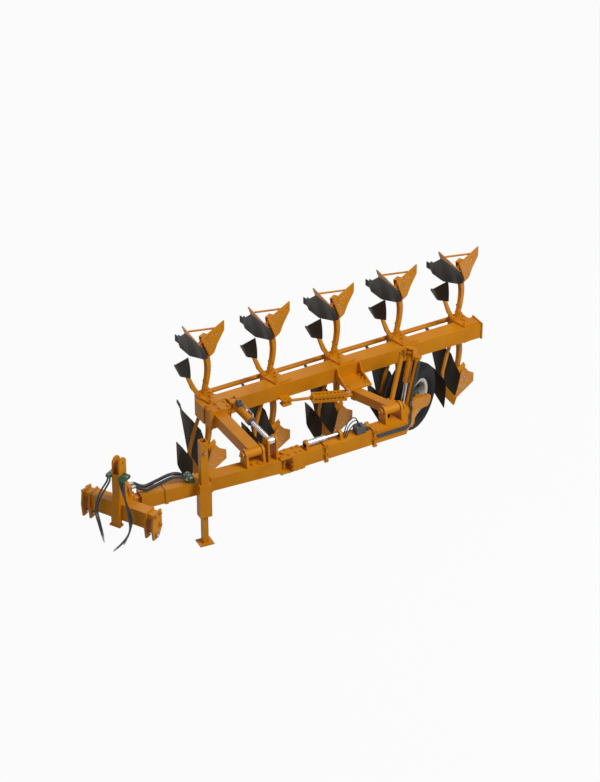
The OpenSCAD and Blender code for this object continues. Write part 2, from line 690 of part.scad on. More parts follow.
module lift_mast() {
    color(orange) place() at_travel(wheel_c, 0) union() {
        for (v = mast_v) difference() {
            rod([mast_foot[0], v, mast_foot[1]], [mast_head[0], v, mast_head[1]], mast_d);
            box([mast_foot[0] - 100, mast_foot[0] + 100], [v - mast_d, v + mast_d],
                [mast_foot[1] - 100, cross_z[1]]);
        }
        for (v = mast_lug_v) box([lift_top[0] - 55, lift_top[0] + 45], [v, v + mast_lug_t], [1300, 1415]);
        box([-470, -400], [mast_v[0] - mast_d / 2, mast_lug_v[0]], [1310, 1350]);
        box([-470, -400], [mast_lug_v[1] + mast_lug_t, mast_v[1] + mast_d / 2], [1310, 1350]);
        box([-450, -390], [mast_lug_v[0], mast_lug_v[1] + mast_lug_t], [1415, 1430]);
        along_y(lift_top[0], mast_lug_v[0], lift_top[2], top_pin_d,
            mast_lug_v[1] + mast_lug_t - mast_lug_v[0]);
    }
}
module lift_barrel() {
    end = mix(lift_top, lift_low, lift_split);
    color(orange) place() at_travel(wheel_c, 0) difference() {
        union() {
            rod(mix(lift_top, lift_low, 0.05), end, lift_barrel_d);
            along_y(lift_top[0], lift_v - top_eye_w / 2, lift_top[2], top_eye_d, top_eye_w);
        }
        along_y(lift_top[0], lift_v - top_eye_w, lift_top[2], top_pin_d + 2 * running_gap, 2 * top_eye_w);
        rod(mix(lift_top, lift_low, lift_split - lift_seat - 0.1), lift_low, lift_rod_d + 2 * rod_fit);
    }
}
module lift_rod() {
    color(chrome) place() at_travel(wheel_c, 0) difference() {
        union() {
            rod(mix(lift_top, lift_low, lift_split - lift_seat), mix(lift_top, lift_low, lift_neck),
                lift_rod_d);
            rod(mix(lift_top, lift_low, lift_neck), lift_low, lift_eye_w);
            along_y(lift_low[0], lift_v - lift_eye_w / 2, lift_low[2], lift_eye_d, lift_eye_w);
        }
        along_y(lift_low[0], lift_v - lift_eye_w, lift_low[2], lift_pin_d + 4 * open_eye, 2 * lift_eye_w);
    }
}

// Parking stand on the near side of the drawbar
stand_at = 1080;
sleeve_wall = 10;
stand_slack = 1;
sleeve_z = [650, 1450];
// Wide lower housing of the sleeve, beside and below the drawbar
stand_box_z = [400, 860];
stand_box_w = 150;
stand_box_out = 66;
leg_end = sleeve_z[1] - 100;
foot_t = 14;
module at_stand() {
    at_drawbar() translate([stand_at, carrier_w / 2 + sleeve_wall + stand_w / 2 + stand_slack, -carrier_z])
        children();
}
module stand_sleeve() {
    inner = stand_w / 2 + stand_slack;
    outer = inner + sleeve_wall;
    color(orange) place() at_stand() difference() {
        union() {
            box([-outer, outer], [-outer, outer], sleeve_z);
            box([-stand_box_w / 2, stand_box_w / 2], [-outer, stand_box_out], stand_box_z);
        }
        box([-inner, inner], [-inner, inner], [0, 2 * beam_z]);
    }
}
module stand_leg() {
    color(orange) place() at_stand() union() {
        box([-stand_w / 2, stand_w / 2], [-stand_w / 2, stand_w / 2], [foot_t, leg_end]);
        box([-90, 90], [-80, 80], [0, foot_t]);
    }
}

// Headstock, which swivels on the drawbar's front
yoke_gap = 6;
swivel_d = 80;
swivel_l = 290;
tongue_l = 150;
tongue_w = 110;
tongue_h = 120;
module swivel_pin() {
    color(orange) place() at_drawbar() union() {
        box([swivel_reach - tongue_l, swivel_reach - tongue_l + 20], [-carrier_w / 2, carrier_w / 2],
            [-carrier_w / 2, carrier_w / 2]);
        box([swivel_reach - tongue_l, swivel_reach], [-tongue_w / 2, tongue_w / 2],
            [-tongue_h / 2, tongue_h / 2]);
        translate([swivel_reach, 0, -tongue_h / 2]) cylinder(d = tongue_w, h = tongue_h);
        translate([swivel_reach, 0, -swivel_l / 2]) cylinder(d = swivel_d, h = swivel_l);
    }
}
yoke_len = 75;
yoke_h = 110;
yoke_in = tongue_h / 2 + yoke_gap;
yoke_w = 146;
module headstock_yoke() {
    color(orange) place() at_travel(swivel, carrier_z) for (s = [0, 1]) mirror([0, 0, s]) difference() {
        union() {
            box([-yoke_len, 0], [-yoke_w / 2, yoke_w / 2], [yoke_in, yoke_h]);
            translate([0, 0, yoke_in]) cylinder(d = yoke_w, h = yoke_h - yoke_in);
        }
        cylinder(d = swivel_d + 2 * running_gap, h = 2 * yoke_h);
    }
}
module cross_tube() {
    half = headstock_w / 2 - 130;
    color(orange) place() at_travel(swivel, carrier_z) difference() {
        box([-yoke_len - cross_tube_w, -yoke_len], [-half, half], [-yoke_h, yoke_h]);
        box([-yoke_len - cross_tube_w + carrier_wall, -yoke_len - carrier_wall], [-half - 1, half + 1],
            [-yoke_h + carrier_wall, yoke_h - carrier_wall]);
    }
}
clevis_t = 25;
clevis_gap = 75;
hitch_z = -170;
clevis_x = -yoke_len - cross_tube_w / 2;
module clevis_plate(v) {
    translate([0, v + clevis_t, 0]) rotate([90, 0, 0]) linear_extrude(clevis_t) difference() {
        polygon([[clevis_x - 85, 120], [clevis_x + 85, 120], [clevis_x + 85, -120],
            [clevis_x + 20, hitch_z - 60], [clevis_x - 90, hitch_z - 60], [clevis_x - 110, -60]]);
        translate([clevis_x - 40, hitch_z]) circle(d = hitch_pin_d + 2 * running_gap);
    }
}
module clevises() {
    inner = headstock_w / 2 - 130;
    color(orange) place() at_travel(swivel, carrier_z) for (s = [0, 1]) mirror([0, s, 0]) union() {
        clevis_plate(inner);
        clevis_plate(inner + clevis_t + clevis_gap);
        box([clevis_x - 60, clevis_x + 60], [inner + clevis_t, inner + clevis_t + clevis_gap], [40, 100]);
    }
}
module hitch_pins() {
    inner = headstock_w / 2 - 130;
    color(chrome) place() at_travel(swivel, carrier_z) for (s = [0, 1]) mirror([0, s, 0])
        along_y(clevis_x - 40, inner - 30, hitch_z, hitch_pin_d, clevis_gap + 2 * clevis_t + 60);
}
tower_gap = 60;
tower_t = 22;
// Broad plates that stand on the cross tube and lap its front, joined by a foot plate
tower_front = -yoke_len - cross_tube_w;
tower_lap = 60;
tower_low = -150;
tower_eye_r = 72;
tower_eye = [clevis_x - 20, tower_h - tower_eye_r];
foot_plate_t = 20;
module tower_side() {
    difference() {
        union() {
            translate(tower_eye) circle(r = tower_eye_r);
            polygon([[tower_front, yoke_h], [tower_front, tower_low], [tower_front - tower_lap, tower_low],
                [tower_front - tower_lap, yoke_h], [tower_eye[0] - tower_eye_r, 2 * yoke_h],
                [tower_eye[0] - tower_eye_r, tower_eye[1]], [tower_eye[0] + tower_eye_r, tower_eye[1]],
                [tower_eye[0] + tower_eye_r, 2 * yoke_h], [clevis_x + cross_tube_w / 2, yoke_h]]);
        }
        translate(tower_eye) circle(d = top_hole_d + 2 * running_gap);
    }
}
module tower() {
    out = tower_gap / 2 + tower_t;
    color(orange) place() at_travel(swivel, carrier_z) union() {
        for (s = [0, 1]) mirror([0, s, 0])
            translate([0, out, 0]) rotate([90, 0, 0]) linear_extrude(tower_t) tower_side();
        box([tower_front - tower_lap - foot_plate_t, tower_front], [-out - foot_plate_t, out + foot_plate_t],
            [tower_low - foot_plate_t, tower_low]);
    }
}

// Tractor hoses, which hang from clamps on the tower
clamp_z = [1240, 1280];
clamp_u = [-285, -150];
clamp_v = [tower_gap / 2 + tower_t, 90];
clamp_x = -265;
module hose_clamps() {
    color("#2f8f3a") place() at_travel(swivel, 0) {
        box(clamp_u, [clamp_v[0], clamp_v[0] + 60], clamp_z);
        box(clamp_u, [-clamp_v[0] - clamp_v[1], -clamp_v[0]], clamp_z);
    }
}
// Routes in the travel frame at the swivel, from the clamp to the coupler
hose_routes = [
    [[clamp_x, 70, clamp_z[0]], [-265, 75, 1180], [-280, 140, 1040], [-290, 215, 880], [-290, 245, 720],
        [-290, 215, 560], [-290, 190, 440]],
    [[clamp_x, 98, clamp_z[0]], [-270, 105, 1180], [-310, 170, 1040], [-330, 225, 880], [-335, 240, 720],
        [-335, 200, 560], [-335, 160, 420]],
    [[clamp_x, -68, clamp_z[0]], [-265, -75, 1180], [-280, -130, 1040], [-290, -205, 880], [-290, -235, 740],
        [-290, -195, 580], [-290, -140, 440]],
    [[clamp_x, -96, clamp_z[0]], [-272, -105, 1180], [-310, -165, 1040], [-330, -225, 880], [-335, -250, 720],
        [-335, -205, 560], [-335, -105, 400]],
    [[clamp_x, -124, clamp_z[0]], [-280, -135, 1180], [-345, -195, 1040], [-375, -245, 880], [-380, -265, 700],
        [-380, -205, 530], [-380, -75, 360]]];
hose_sides = 10;
ring_steps = 3;
function unit(v) = v / norm(v);
function spline(p, i, t) = let(a = p[max(i - 1, 0)], b = p[i], c = p[i + 1], d = p[min(i + 2, len(p) - 1)])
    (2 * b + (c - a) * t + (2 * a - 5 * b + 4 * c - d) * t * t + (3 * b - a - 3 * c + d) * t * t * t) / 2;
function route(p, n) = concat([for (i = [0:len(p) - 2], k = [0:n - 1]) spline(p, i, k / n)],
    [p[len(p) - 1]]);
// A tube swept along a route, square to its ends' directions
module hose(p, d, n, ends, across) {
    line = route(p, n);
    m = len(line);
    rings = [for (i = [0:m - 1]) let(
        t = i == 0 ? ends[0] : i == m - 1 ? ends[1] : unit(line[i + 1] - line[i - 1]),
        a = unit(cross(t, across)), b = cross(t, a))
        for (k = [0:hose_sides - 1]) let(w = 360 * k / hose_sides)
            line[i] + d / 2 * (cos(w) * a + sin(w) * b)];
    quads = [for (i = [0:m - 2], k = [0:hose_sides - 1]) let(j = (k + 1) % hose_sides, r = i * hose_sides)
        [r + k + hose_sides, r + j + hose_sides, r + j, r + k]];
    polyhedron(points = rings, faces = concat([[for (k = [0:hose_sides - 1]) k]], quads,
        [[for (k = [hose_sides - 1:-1:0]) (m - 1) * hose_sides + k]]));
}
down = [0, 0, -1];
coupler_d = 30;
coupler_l = 70;
cap_d = 38;
cap_l = 25;
module tractor_hose(i) {
    color("#1a1a1a") place() at_travel(swivel, 0)
        hose(hose_routes[i], hose_d, ring_steps, [down, down], [1, 0, 0]);
}
module coupler(i) {
    end = hose_routes[i][len(hose_routes[i]) - 1];
    color(steel) place() at_travel(swivel, 0) translate(end - [0, 0, coupler_l]) union() {
        cylinder(d = coupler_d, h = coupler_l);
        translate([0, 0, cap_l]) cylinder(d = cap_d, h = cap_l);
    }
}
// Hoses along the drawbar, from a post over the swivel
post_d = 44;
post_z = [swivel_l / 2, swivel_l / 2 + 45];
post_block = [40, 150, 60];
feed_y = 36;
feed_top = post_z[1] + post_block[2] / 2;
feed_lie = carrier_w / 2 + feed_d / 2 + 0.3;
feed_run = 730;
feed_end = swivel_reach - feed_run;
feed_block = [70, 150, 62];
module hose_post() {
    color(orange) place() at_drawbar() translate([swivel_reach, 0, 0]) union() {
        translate([0, 0, post_z[0]]) cylinder(d = post_d, h = post_z[1] - post_z[0]);
        translate([-post_block[0] / 2, -post_block[1] / 2, post_z[1]]) cube(post_block);
    }
}
module feed_hoses() {
    start = swivel_reach - post_block[0] / 2;
    color("#1a1a1a") place() at_drawbar() for (y = [-feed_y, feed_y])
        hose([[start, y, feed_top], [start - 90, y, feed_top - 10], [start - 200, y, feed_lie + 55],
            [start - 320, y, feed_lie + 6], [start - 440, y, feed_lie], [feed_end, y, feed_lie]],
            feed_d, ring_steps, [[-1, 0, 0], [-1, 0, 0]], [0, 1, 0]);
}
module feed_clamp() {
    color("#2f8f3a") place() at_drawbar()
        translate([feed_end - feed_block[0], -feed_block[1] / 2, carrier_w / 2]) cube(feed_block);
}

beam();
beam_ends();
link_bar();
heads();
legs();
frogs();
landsides();
mouldboards();
shares();
stays();
skimmer_stalks();
skimmers();
front_arm();
rear_arm();
rear_console();
width_cylinder();
cylinder_guard();
turnover_lugs();
turnover_barrel();
turnover_rod();
carrier_tube();
carrier_collars();
drawbar();
mid_hinge();
front_bracket();
turnover_pins();
turnover_fork();
carrier_cylinder();
valve_box();
cart_frame();
lift_mast();
stand_sleeve();
stand_leg();
wheel_arm();
tyre();
rim();
lift_barrel();
lift_rod();
swivel_pin();
headstock_yoke();
cross_tube();
clevises();
hitch_pins();
tower();
hose_clamps();
tractor_hose(0);  // hose_1
tractor_hose(1);  // hose_2
tractor_hose(2);  // hose_3
tractor_hose(3);  // hose_4
tractor_hose(4);  // hose_5
coupler(0);  // coupler_1
coupler(1);  // coupler_2
coupler(2);  // coupler_3
coupler(3);  // coupler_4
coupler(4);  // coupler_5
hose_post();
feed_hoses();
feed_clamp();
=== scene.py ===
"""Dresses a five-furrow semi-mounted reversible plough, parked on its wheel, stand and lower shares."""
import json
import math

import bpy
from mathutils import Matrix, Vector


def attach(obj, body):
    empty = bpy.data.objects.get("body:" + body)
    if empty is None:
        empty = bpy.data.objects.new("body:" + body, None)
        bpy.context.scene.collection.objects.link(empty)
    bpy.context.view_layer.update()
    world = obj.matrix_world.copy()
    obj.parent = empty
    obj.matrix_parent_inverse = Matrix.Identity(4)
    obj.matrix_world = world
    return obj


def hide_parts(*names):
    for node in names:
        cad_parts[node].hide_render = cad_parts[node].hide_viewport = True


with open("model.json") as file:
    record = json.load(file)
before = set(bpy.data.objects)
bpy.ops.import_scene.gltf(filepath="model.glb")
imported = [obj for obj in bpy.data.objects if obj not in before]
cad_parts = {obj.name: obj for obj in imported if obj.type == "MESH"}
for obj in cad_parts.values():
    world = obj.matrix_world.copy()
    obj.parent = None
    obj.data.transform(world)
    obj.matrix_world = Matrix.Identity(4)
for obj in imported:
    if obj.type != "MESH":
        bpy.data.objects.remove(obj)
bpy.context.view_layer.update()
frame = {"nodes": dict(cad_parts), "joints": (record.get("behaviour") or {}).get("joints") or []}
part = frame["nodes"]

# View. A long lens looks down on the plough from its front left, as in a sales picture,
# and is aimed at the height of the beam.
SHIFT_MM = (186.23, 70.40)
AIM = Vector((SHIFT_MM[0] / 1000, SHIFT_MM[1] / 1000, 1.0))
AZIMUTH = math.radians(330.7)
ELEVATION = math.radians(33)
DISTANCE = 35.0
LENS_MM = 132.4
SENSOR_MM = 36
FAR_CLIP = 200
back = Vector((math.sin(AZIMUTH) * math.cos(ELEVATION), -math.cos(AZIMUTH) * math.cos(ELEVATION),
               math.sin(ELEVATION)))
bpy.ops.object.camera_add(location=AIM + DISTANCE * back, rotation=back.to_track_quat("Z", "Y").to_euler())
camera = bpy.context.object
camera.data.lens = LENS_MM
camera.data.sensor_width = SENSOR_MM
camera.data.clip_end = FAR_CLIP
bpy.context.scene.camera = camera
bpy.context.scene.view_settings.view_transform = "Standard"


# Studio. A seamless white paper floor under a large soft key lamp on the right and weaker lamps
# on the left and behind, which leave the faces towards the front darker than the sides and tops.
def linear(hex_colour):
    """An sRGB hex value as linear red, green, blue and alpha."""
    parts = [int(hex_colour[i:i + 2], 16) / 255 for i in (1, 3, 5)]
    return [c / 12.92 if c <= 0.04045 else ((c + 0.055) / 1.055) ** 2.4 for c in parts] + [1]


def add(material, kind, settings=None, links=None):
    """A shader node with its settings, and links from other sockets into its inputs."""
    made = material.node_tree.nodes.new(kind)
    for key, value in (settings or {}).items():
        if key in made.inputs:
            made.inputs[key].default_value = value
        else:
            setattr(made, key, value)
    for key, socket in (links or {}).items():
        material.node_tree.links.new(socket, made.inputs[key])
    return made


FLOOR_SIZE = 120
FLOOR_DROP = 0.002
FLOOR_GLOW = 0.95
SKY_LIGHT = 0.12
bpy.ops.object.select_all(action="DESELECT")
bpy.ops.mesh.primitive_plane_add(size=FLOOR_SIZE, location=(0, 0, -FLOOR_DROP))
floor = bpy.context.object
floor.name = "studio_floor"
paper = bpy.data.materials.new("studio_paper")
paper.use_nodes = True
paper.node_tree.nodes.clear()
rays = add(paper, "ShaderNodeLightPath")
seen = add(paper, "ShaderNodeMath", {"operation": "MAXIMUM"},
           {0: rays.outputs["Is Camera Ray"], 1: rays.outputs["Is Glossy Ray"]})
part_glow = add(paper, "ShaderNodeMath", {"operation": "MULTIPLY"}, {0: seen.outputs[0]})
part_glow.inputs[1].default_value = FLOOR_GLOW
matt = add(paper, "ShaderNodeBsdfDiffuse", {"Color": linear("#B4B4B4")})
glow = add(paper, "ShaderNodeEmission", {"Color": (1, 1, 1, 1), "Strength": 1.0})
both = add(paper, "ShaderNodeMixShader", {},
           {0: part_glow.outputs[0], 1: matt.outputs[0], 2: glow.outputs[0]})
add(paper, "ShaderNodeOutputMaterial", {}, {"Surface": both.outputs[0]})
floor.data.materials.append(paper)
world = bpy.data.worlds.new("studio")
bpy.context.scene.world = world
world.use_nodes = True
sky = world.node_tree.nodes["Background"]
sky.inputs["Color"].default_value = (1, 1, 1, 1)
paths = add(world, "ShaderNodeLightPath")
shown = add(world, "ShaderNodeMath", {"operation": "MAXIMUM"},
            {0: paths.outputs["Is Camera Ray"], 1: paths.outputs["Is Glossy Ray"]})
strength = add(world, "ShaderNodeMapRange", {"To Min": SKY_LIGHT, "To Max": 1.0}, {"Value": shown.outputs[0]})
world.node_tree.links.new(strength.outputs[0], sky.inputs["Strength"])
LAMPS = {"key": ((5, -9, 12), 6, 1850), "fill": ((-11, -4, 6), 8, 170), "rim": ((2, 12, 9), 7, 520)}
for name, (place, size, watts) in LAMPS.items():
    bpy.ops.object.light_add(type="AREA", location=place)
    lamp = bpy.context.object
    lamp.name = name
    lamp.data.size = size
    lamp.data.energy = watts
    lamp.rotation_euler = (Vector(place) - AIM).to_track_quat("Z", "Y").to_euler()

# Tractor hoses. Wire-braided rubber hoses leave two clamps on the headstock's tower and hang
# in front of it, two on one side and three on the other, each with a push-in coupler at its end.
TRAVEL = math.radians(30)
pivot = next(j for j in frame["joints"] if j["name"] == "headstock_swivel")["pos_m"]


def at_hitch(u, v, z):
    """A point in millimetres of the headstock's own frame, at the swivel, in metres of the plough."""
    return Vector((pivot[0] + (u * math.cos(TRAVEL) - v * math.sin(TRAVEL)) / 1000,
                   pivot[1] + (u * math.sin(TRAVEL) + v * math.cos(TRAVEL)) / 1000, z / 1000))


def smooth_line(points, steps):
    """A smooth line through the points, with even steps between each two."""
    line = []
    last = len(points) - 1
    for i in range(last):
        a, b, c, d = points[max(i - 1, 0)], points[i], points[i + 1], points[min(i + 2, last)]
        for k in range(steps):
            t = k / steps
            line.append(0.5 * (2 * b + (c - a) * t + (2 * a - 5 * b + 4 * c - d) * t ** 2
                               + (3 * b - a - 3 * c + d) * t ** 3))
    return line + [points[last]]


def hose_curve(name, line, diameter):
    """A round hose along a line, as a curve of one spline."""
    made = bpy.data.curves.new(name, "CURVE")
    made.dimensions = "3D"
    made.bevel_depth = diameter / 2
    made.bevel_resolution = 5
    made.use_fill_caps = True
    spline = made.splines.new("POLY")
    spline.points.add(len(line) - 1)
    for point, place in zip(spline.points, line):
        point.co = (*place, 1)
    spline.use_smooth = True
    piece = bpy.data.objects.new(name, made)
    bpy.context.scene.collection.objects.link(piece)
    return piece


def new_finish(name):
    """A new material, its shader, and the object coordinates that its patterns lie on."""
    material = bpy.data.materials.new(name)
    material.use_nodes = True
    places = add(material, "ShaderNodeTexCoord").outputs["Object"]
    return material, material.node_tree.nodes["Principled BSDF"], places


def set_finish(material, shader, patterns, values):
    """Links patterns into the shader's sockets, and sets what is the same all over the surface."""
    for socket, node in patterns.items():
        material.node_tree.links.new(node.outputs[0], shader.inputs[socket])
    for socket, value in values.items():
        shader.inputs[socket].default_value = value


# Hydraulic hose rubber: nitrile over wire braid, black and half matt, with the crosswise
# print of the cloth that it was cured in, drawn coarse enough to show.
HOSE_WRAP_MM = 14
hose_rubber, shader, places = new_finish("nitrile_hose_rubber")
wrap = add(hose_rubber, "ShaderNodeTexWave",
           {"Scale": 1000 / HOSE_WRAP_MM / 20, "bands_direction": "Z", "Distortion": 1.5}, {"Vector": places})
tone = add(hose_rubber, "ShaderNodeMixRGB", {"Color1": linear("#121213"), "Color2": linear("#1F1F20")},
           {"Fac": wrap.outputs["Fac"]})
relief = add(hose_rubber, "ShaderNodeBump", {"Strength": 0.25, "Distance": 0.001},
             {"Height": wrap.outputs["Fac"]})
set_finish(hose_rubber, shader, {"Base Color": tone, "Normal": relief}, {"Roughness": 0.46, "IOR": 1.52})

# Zinc: bright electroplated steel with a grey, cloudy passivation, on couplers and bolts.
CLOUD_MM = 18
zinc, shader, places = new_finish("zinc_plated_steel")
cloud = add(zinc, "ShaderNodeTexNoise", {"Scale": 1000 / CLOUD_MM, "Detail": 3.0}, {"Vector": places})
tone = add(zinc, "ShaderNodeMixRGB", {"Color1": linear("#7E7F80"), "Color2": linear("#A9AAA8")},
           {"Fac": cloud.outputs["Fac"]})
dull = add(zinc, "ShaderNodeMapRange", {"To Min": 0.28, "To Max": 0.5}, {"Value": cloud.outputs["Fac"]})
set_finish(zinc, shader, {"Base Color": tone, "Roughness": dull}, {"Metallic": 1.0})


def trace(name, points):
    """A chain of edges through the points, left open in edit mode."""
    bpy.ops.object.select_all(action="DESELECT")
    bpy.ops.mesh.primitive_plane_add(size=0.1)
    piece = bpy.context.object
    piece.name = name
    bpy.ops.object.mode_set(mode="EDIT")
    bpy.ops.mesh.select_all(action="SELECT")
    bpy.ops.mesh.merge(type="CENTER")
    bpy.ops.transform.translate(value=points[0])
    for a, b in zip(points, points[1:]):
        bpy.ops.mesh.extrude_region_move(TRANSFORM_OT_translate={"value": Vector(b) - Vector(a)})
    return piece


def turned(name, profile, centre, axis, steps=32):
    """A round piece turned from a profile of radius and height, both in millimetres, about an axis."""
    centre = Vector(centre)
    axis = Vector(axis).normalized()
    side = axis.orthogonal().normalized()
    piece = trace(name, [centre + side * (r / 1000) + axis * (h / 1000) for r, h in profile])
    bpy.ops.mesh.select_all(action="SELECT")
    bpy.ops.mesh.spin(steps=steps, angle=2 * math.pi, center=centre, axis=axis)
    bpy.ops.mesh.select_all(action="SELECT")
    bpy.ops.mesh.remove_doubles(threshold=0.00002)
    bpy.ops.mesh.normals_make_consistent(inside=False)
    bpy.ops.object.mode_set(mode="OBJECT")
    bpy.ops.object.shade_smooth_by_angle(angle=math.radians(35))
    return piece


def one_piece(name, pieces, material, body, slot, *nodes):
    """Like pieces joined to one object, with its finish, its body and the nodes that it stands for."""
    bpy.ops.object.select_all(action="DESELECT")
    for piece in pieces:
        piece.select_set(True)
    bpy.context.view_layer.objects.active = pieces[0]
    if len(pieces) > 1:
        bpy.ops.object.join()
    made = bpy.context.view_layer.objects.active
    made.name = name
    made.data.materials.clear()
    made.data.materials.append(material)
    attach(made, body)
    if nodes:
        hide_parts(*nodes)
    return made


HOSE_D = 0.022
HOSE_ROUTES = {
    "1": ((-265, 70, 1240), (-265, 75, 1180), (-280, 140, 1040), (-290, 215, 880), (-290, 245, 720),
          (-290, 215, 560), (-290, 190, 440)),
    "2": ((-265, 98, 1240), (-270, 105, 1180), (-310, 170, 1040), (-330, 225, 880), (-335, 240, 720),
          (-335, 200, 560), (-335, 160, 420)),
    "3": ((-265, -68, 1240), (-265, -75, 1180), (-280, -130, 1040), (-290, -205, 880), (-290, -235, 740),
          (-290, -195, 580), (-290, -140, 440)),
    "4": ((-265, -96, 1240), (-272, -105, 1180), (-310, -165, 1040), (-330, -225, 880), (-335, -250, 720),
          (-335, -205, 560), (-335, -105, 400)),
    "5": ((-265, -124, 1240), (-280, -135, 1180), (-345, -195, 1040), (-375, -245, 880), (-380, -265, 700),
          (-380, -205, 530), (-380, -75, 360)),
}
COUPLER = ((0, -8), (12.6, -8), (12.6, 14), (11.4, 15), (11.4, 17), (12.6, 18), (12.6, 30), (9, 32), (9, 38),
           (11, 39), (11, 58), (9, 60), (9, 64), (6.5, 66), (6.5, 84), (5, 87), (0, 87))
for number, route in HOSE_ROUTES.items():
    line = smooth_line([at_hitch(*p) for p in route], 4)
    hose = hose_curve("tractor_hose_" + number, line, HOSE_D)
    hose.data.materials.append(hose_rubber)
    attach(hose, "headstock")
    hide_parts("hose_" + number)
    plug = turned("push_coupler_" + number, COUPLER, line[-1], line[-1] - line[-2])
    one_piece("push_coupler_" + number, [plug], zinc, "headstock", "dark_steel", "coupler_" + number)

# Paint. Gloss enamel sprayed on welded, shot-blasted steel: an even amber with slow shifts of
# tone from the coat's thickness, and a faint orange peel that is drawn coarse to show.
TONE_MM = 260
PEEL_MM = 6
enamel, shader, places = new_finish("amber_enamel")
drift = add(enamel, "ShaderNodeTexNoise", {"Scale": 1000 / TONE_MM, "Detail": 4.0}, {"Vector": places})
tone = add(enamel, "ShaderNodeMixRGB", {"Color1": linear("#BE7004"), "Color2": linear("#DA9010")},
           {"Fac": drift.outputs["Fac"]})
peel = add(enamel, "ShaderNodeTexNoise", {"Scale": 1000 / PEEL_MM, "Detail": 2.0}, {"Vector": places})
relief = add(enamel, "ShaderNodeBump", {"Strength": 0.12, "Distance": 0.0006},
             {"Height": peel.outputs["Fac"]})
gloss = add(enamel, "ShaderNodeMapRange", {"To Min": 0.4, "To Max": 0.56}, {"Value": drift.outputs["Fac"]})
set_finish(enamel, shader, {"Base Color": tone, "Normal": relief, "Roughness": gloss}, {"IOR": 1.27})


def finish_with(material, *names):
    """CAD pieces that keep their shape get this finish."""
    for name in names:
        part[name].data.materials.clear()
        part[name].data.materials.append(material)


# Headstock. A welded cross tube with two clevises for the tractor's lower links and a two-plate
# tower for its top link, which turns on an upright pin at the drawbar's front.
finish_with(enamel, "swivel_pin", "headstock_yoke", "cross_tube", "clevises", "tower", "hose_post")
ACROSS_FLATS = {"M6": 10, "M8": 13, "M10": 17, "M16": 24, "M18": 27, "M20": 30}


def hex_bolt(across):
    """A hexagon bolt's head on its washer, with its foot at the origin and its axis up."""
    washer = 0.12 * across
    head = 0.62 * across
    bpy.ops.object.select_all(action="DESELECT")
    bpy.ops.mesh.primitive_cylinder_add(vertices=6, radius=across / math.sqrt(3), depth=head,
                                        location=(0, 0, washer + head / 2))
    bolt = bpy.context.object
    bpy.ops.object.transform_apply(location=True)
    bpy.ops.object.mode_set(mode="EDIT")
    bpy.ops.mesh.select_all(action="DESELECT")
    bpy.ops.object.mode_set(mode="OBJECT")
    for face in bolt.data.polygons:
        face.select = face.normal.z > 0.9
    bpy.ops.object.mode_set(mode="EDIT")
    bpy.ops.mesh.bevel(offset=0.09 * across, segments=2, affect="EDGES")
    bpy.ops.mesh.select_all(action="DESELECT")
    bpy.ops.mesh.primitive_cylinder_add(vertices=20, radius=0.98 * across, depth=washer,
                                        location=(0, 0, washer / 2))
    bpy.ops.mesh.bevel(offset=0.02 * across, segments=1, affect="EDGES")
    bpy.ops.object.mode_set(mode="OBJECT")
    bpy.ops.object.shade_smooth_by_angle(angle=math.radians(28))
    return bolt


def set_copies(model, places):
    """Copies of a small piece, each with its own mesh, set at places with their axes."""
    copies = []
    for place, axis in places:
        copy = model.copy()
        copy.data = model.data.copy()
        turn = Vector((0, 0, 1)).rotation_difference(Vector(axis)).to_matrix().to_4x4()
        copy.data.transform(Matrix.Translation(place) @ turn)
        bpy.context.scene.collection.objects.link(copy)
        copies.append(copy)
    return copies


def bolts(name, body, thread, places, finish=enamel):
    """Hexagon bolts of one size on one body, painted over with the frame or left zinc-plated."""
    model = hex_bolt(ACROSS_FLATS[thread] / 1000)
    slot = "orange_paint" if finish == enamel else "bright_steel"
    one_piece(name, set_copies(model, places), finish, body, slot)
    bpy.data.objects.remove(model)


# Hydraulic chrome and ground steel: bright, with faint rings from grinding, drawn coarse.
RING_MM = 9
chrome, shader, places = new_finish("hard_chromed_steel")
rings = add(chrome, "ShaderNodeTexNoise", {"Scale": 1000 / RING_MM, "Detail": 2.0}, {"Vector": places})
shine = add(chrome, "ShaderNodeMapRange", {"To Min": 0.1, "To Max": 0.24}, {"Value": rings.outputs["Fac"]})
tone = add(chrome, "ShaderNodeMixRGB", {"Color1": linear("#A6A7A8"), "Color2": linear("#C9CACB")},
           {"Fac": rings.outputs["Fac"]})
set_finish(chrome, shader, {"Roughness": shine, "Base Color": tone}, {"Metallic": 1.0})

# Hitch pins. Ground steel pins for the tractor's lower links, held at both ends by a collar
# with a spring-wire clip; the tower's plates are bolted together over two round spacers.
finish_with(chrome, "hitch_pins")
across_hitch = at_hitch(0, 1000, 0) - at_hitch(0, 0, 0)
PIN_U = -190
PIN_Z = 590
PIN_ENDS = (355, 519)
COLLAR = ((18.4, -6), (25, -6), (25, 6), (18.4, 6), (18.4, -6))
CLIP_R = 0.022
CLIP_WIRE_R = 0.0032
CLIP_TILT = math.radians(25)
clips = []
for side in (-1, 1):
    for end in PIN_ENDS:
        clips.append(turned("pin_collar", COLLAR, at_hitch(PIN_U, side * end, PIN_Z), across_hitch))
        bpy.ops.object.select_all(action="DESELECT")
        bpy.ops.mesh.primitive_torus_add(
            major_radius=CLIP_R, minor_radius=CLIP_WIRE_R, major_segments=28, minor_segments=8,
            location=at_hitch(PIN_U + 16, side * (end - 2), PIN_Z - 20),
            rotation=(math.radians(90), 0, TRAVEL + CLIP_TILT))
        bpy.ops.object.transform_apply(location=True, rotation=True)
        bpy.ops.object.shade_smooth()
        clips.append(bpy.context.object)
one_piece("hitch_pin_clips", clips, zinc, "headstock", "bright_steel")
TOWER_U = -150
TOWER_FACE = 52
SPACER_Z = (960, 1120)
SPACER = ((0, -29.9), (19, -29.9), (19, 29.9), (0, 29.9))
CLEVIS_FACE = 505
CLEVIS_BOLTS = ((-195, 850), (-105, 850), (-105, 690))
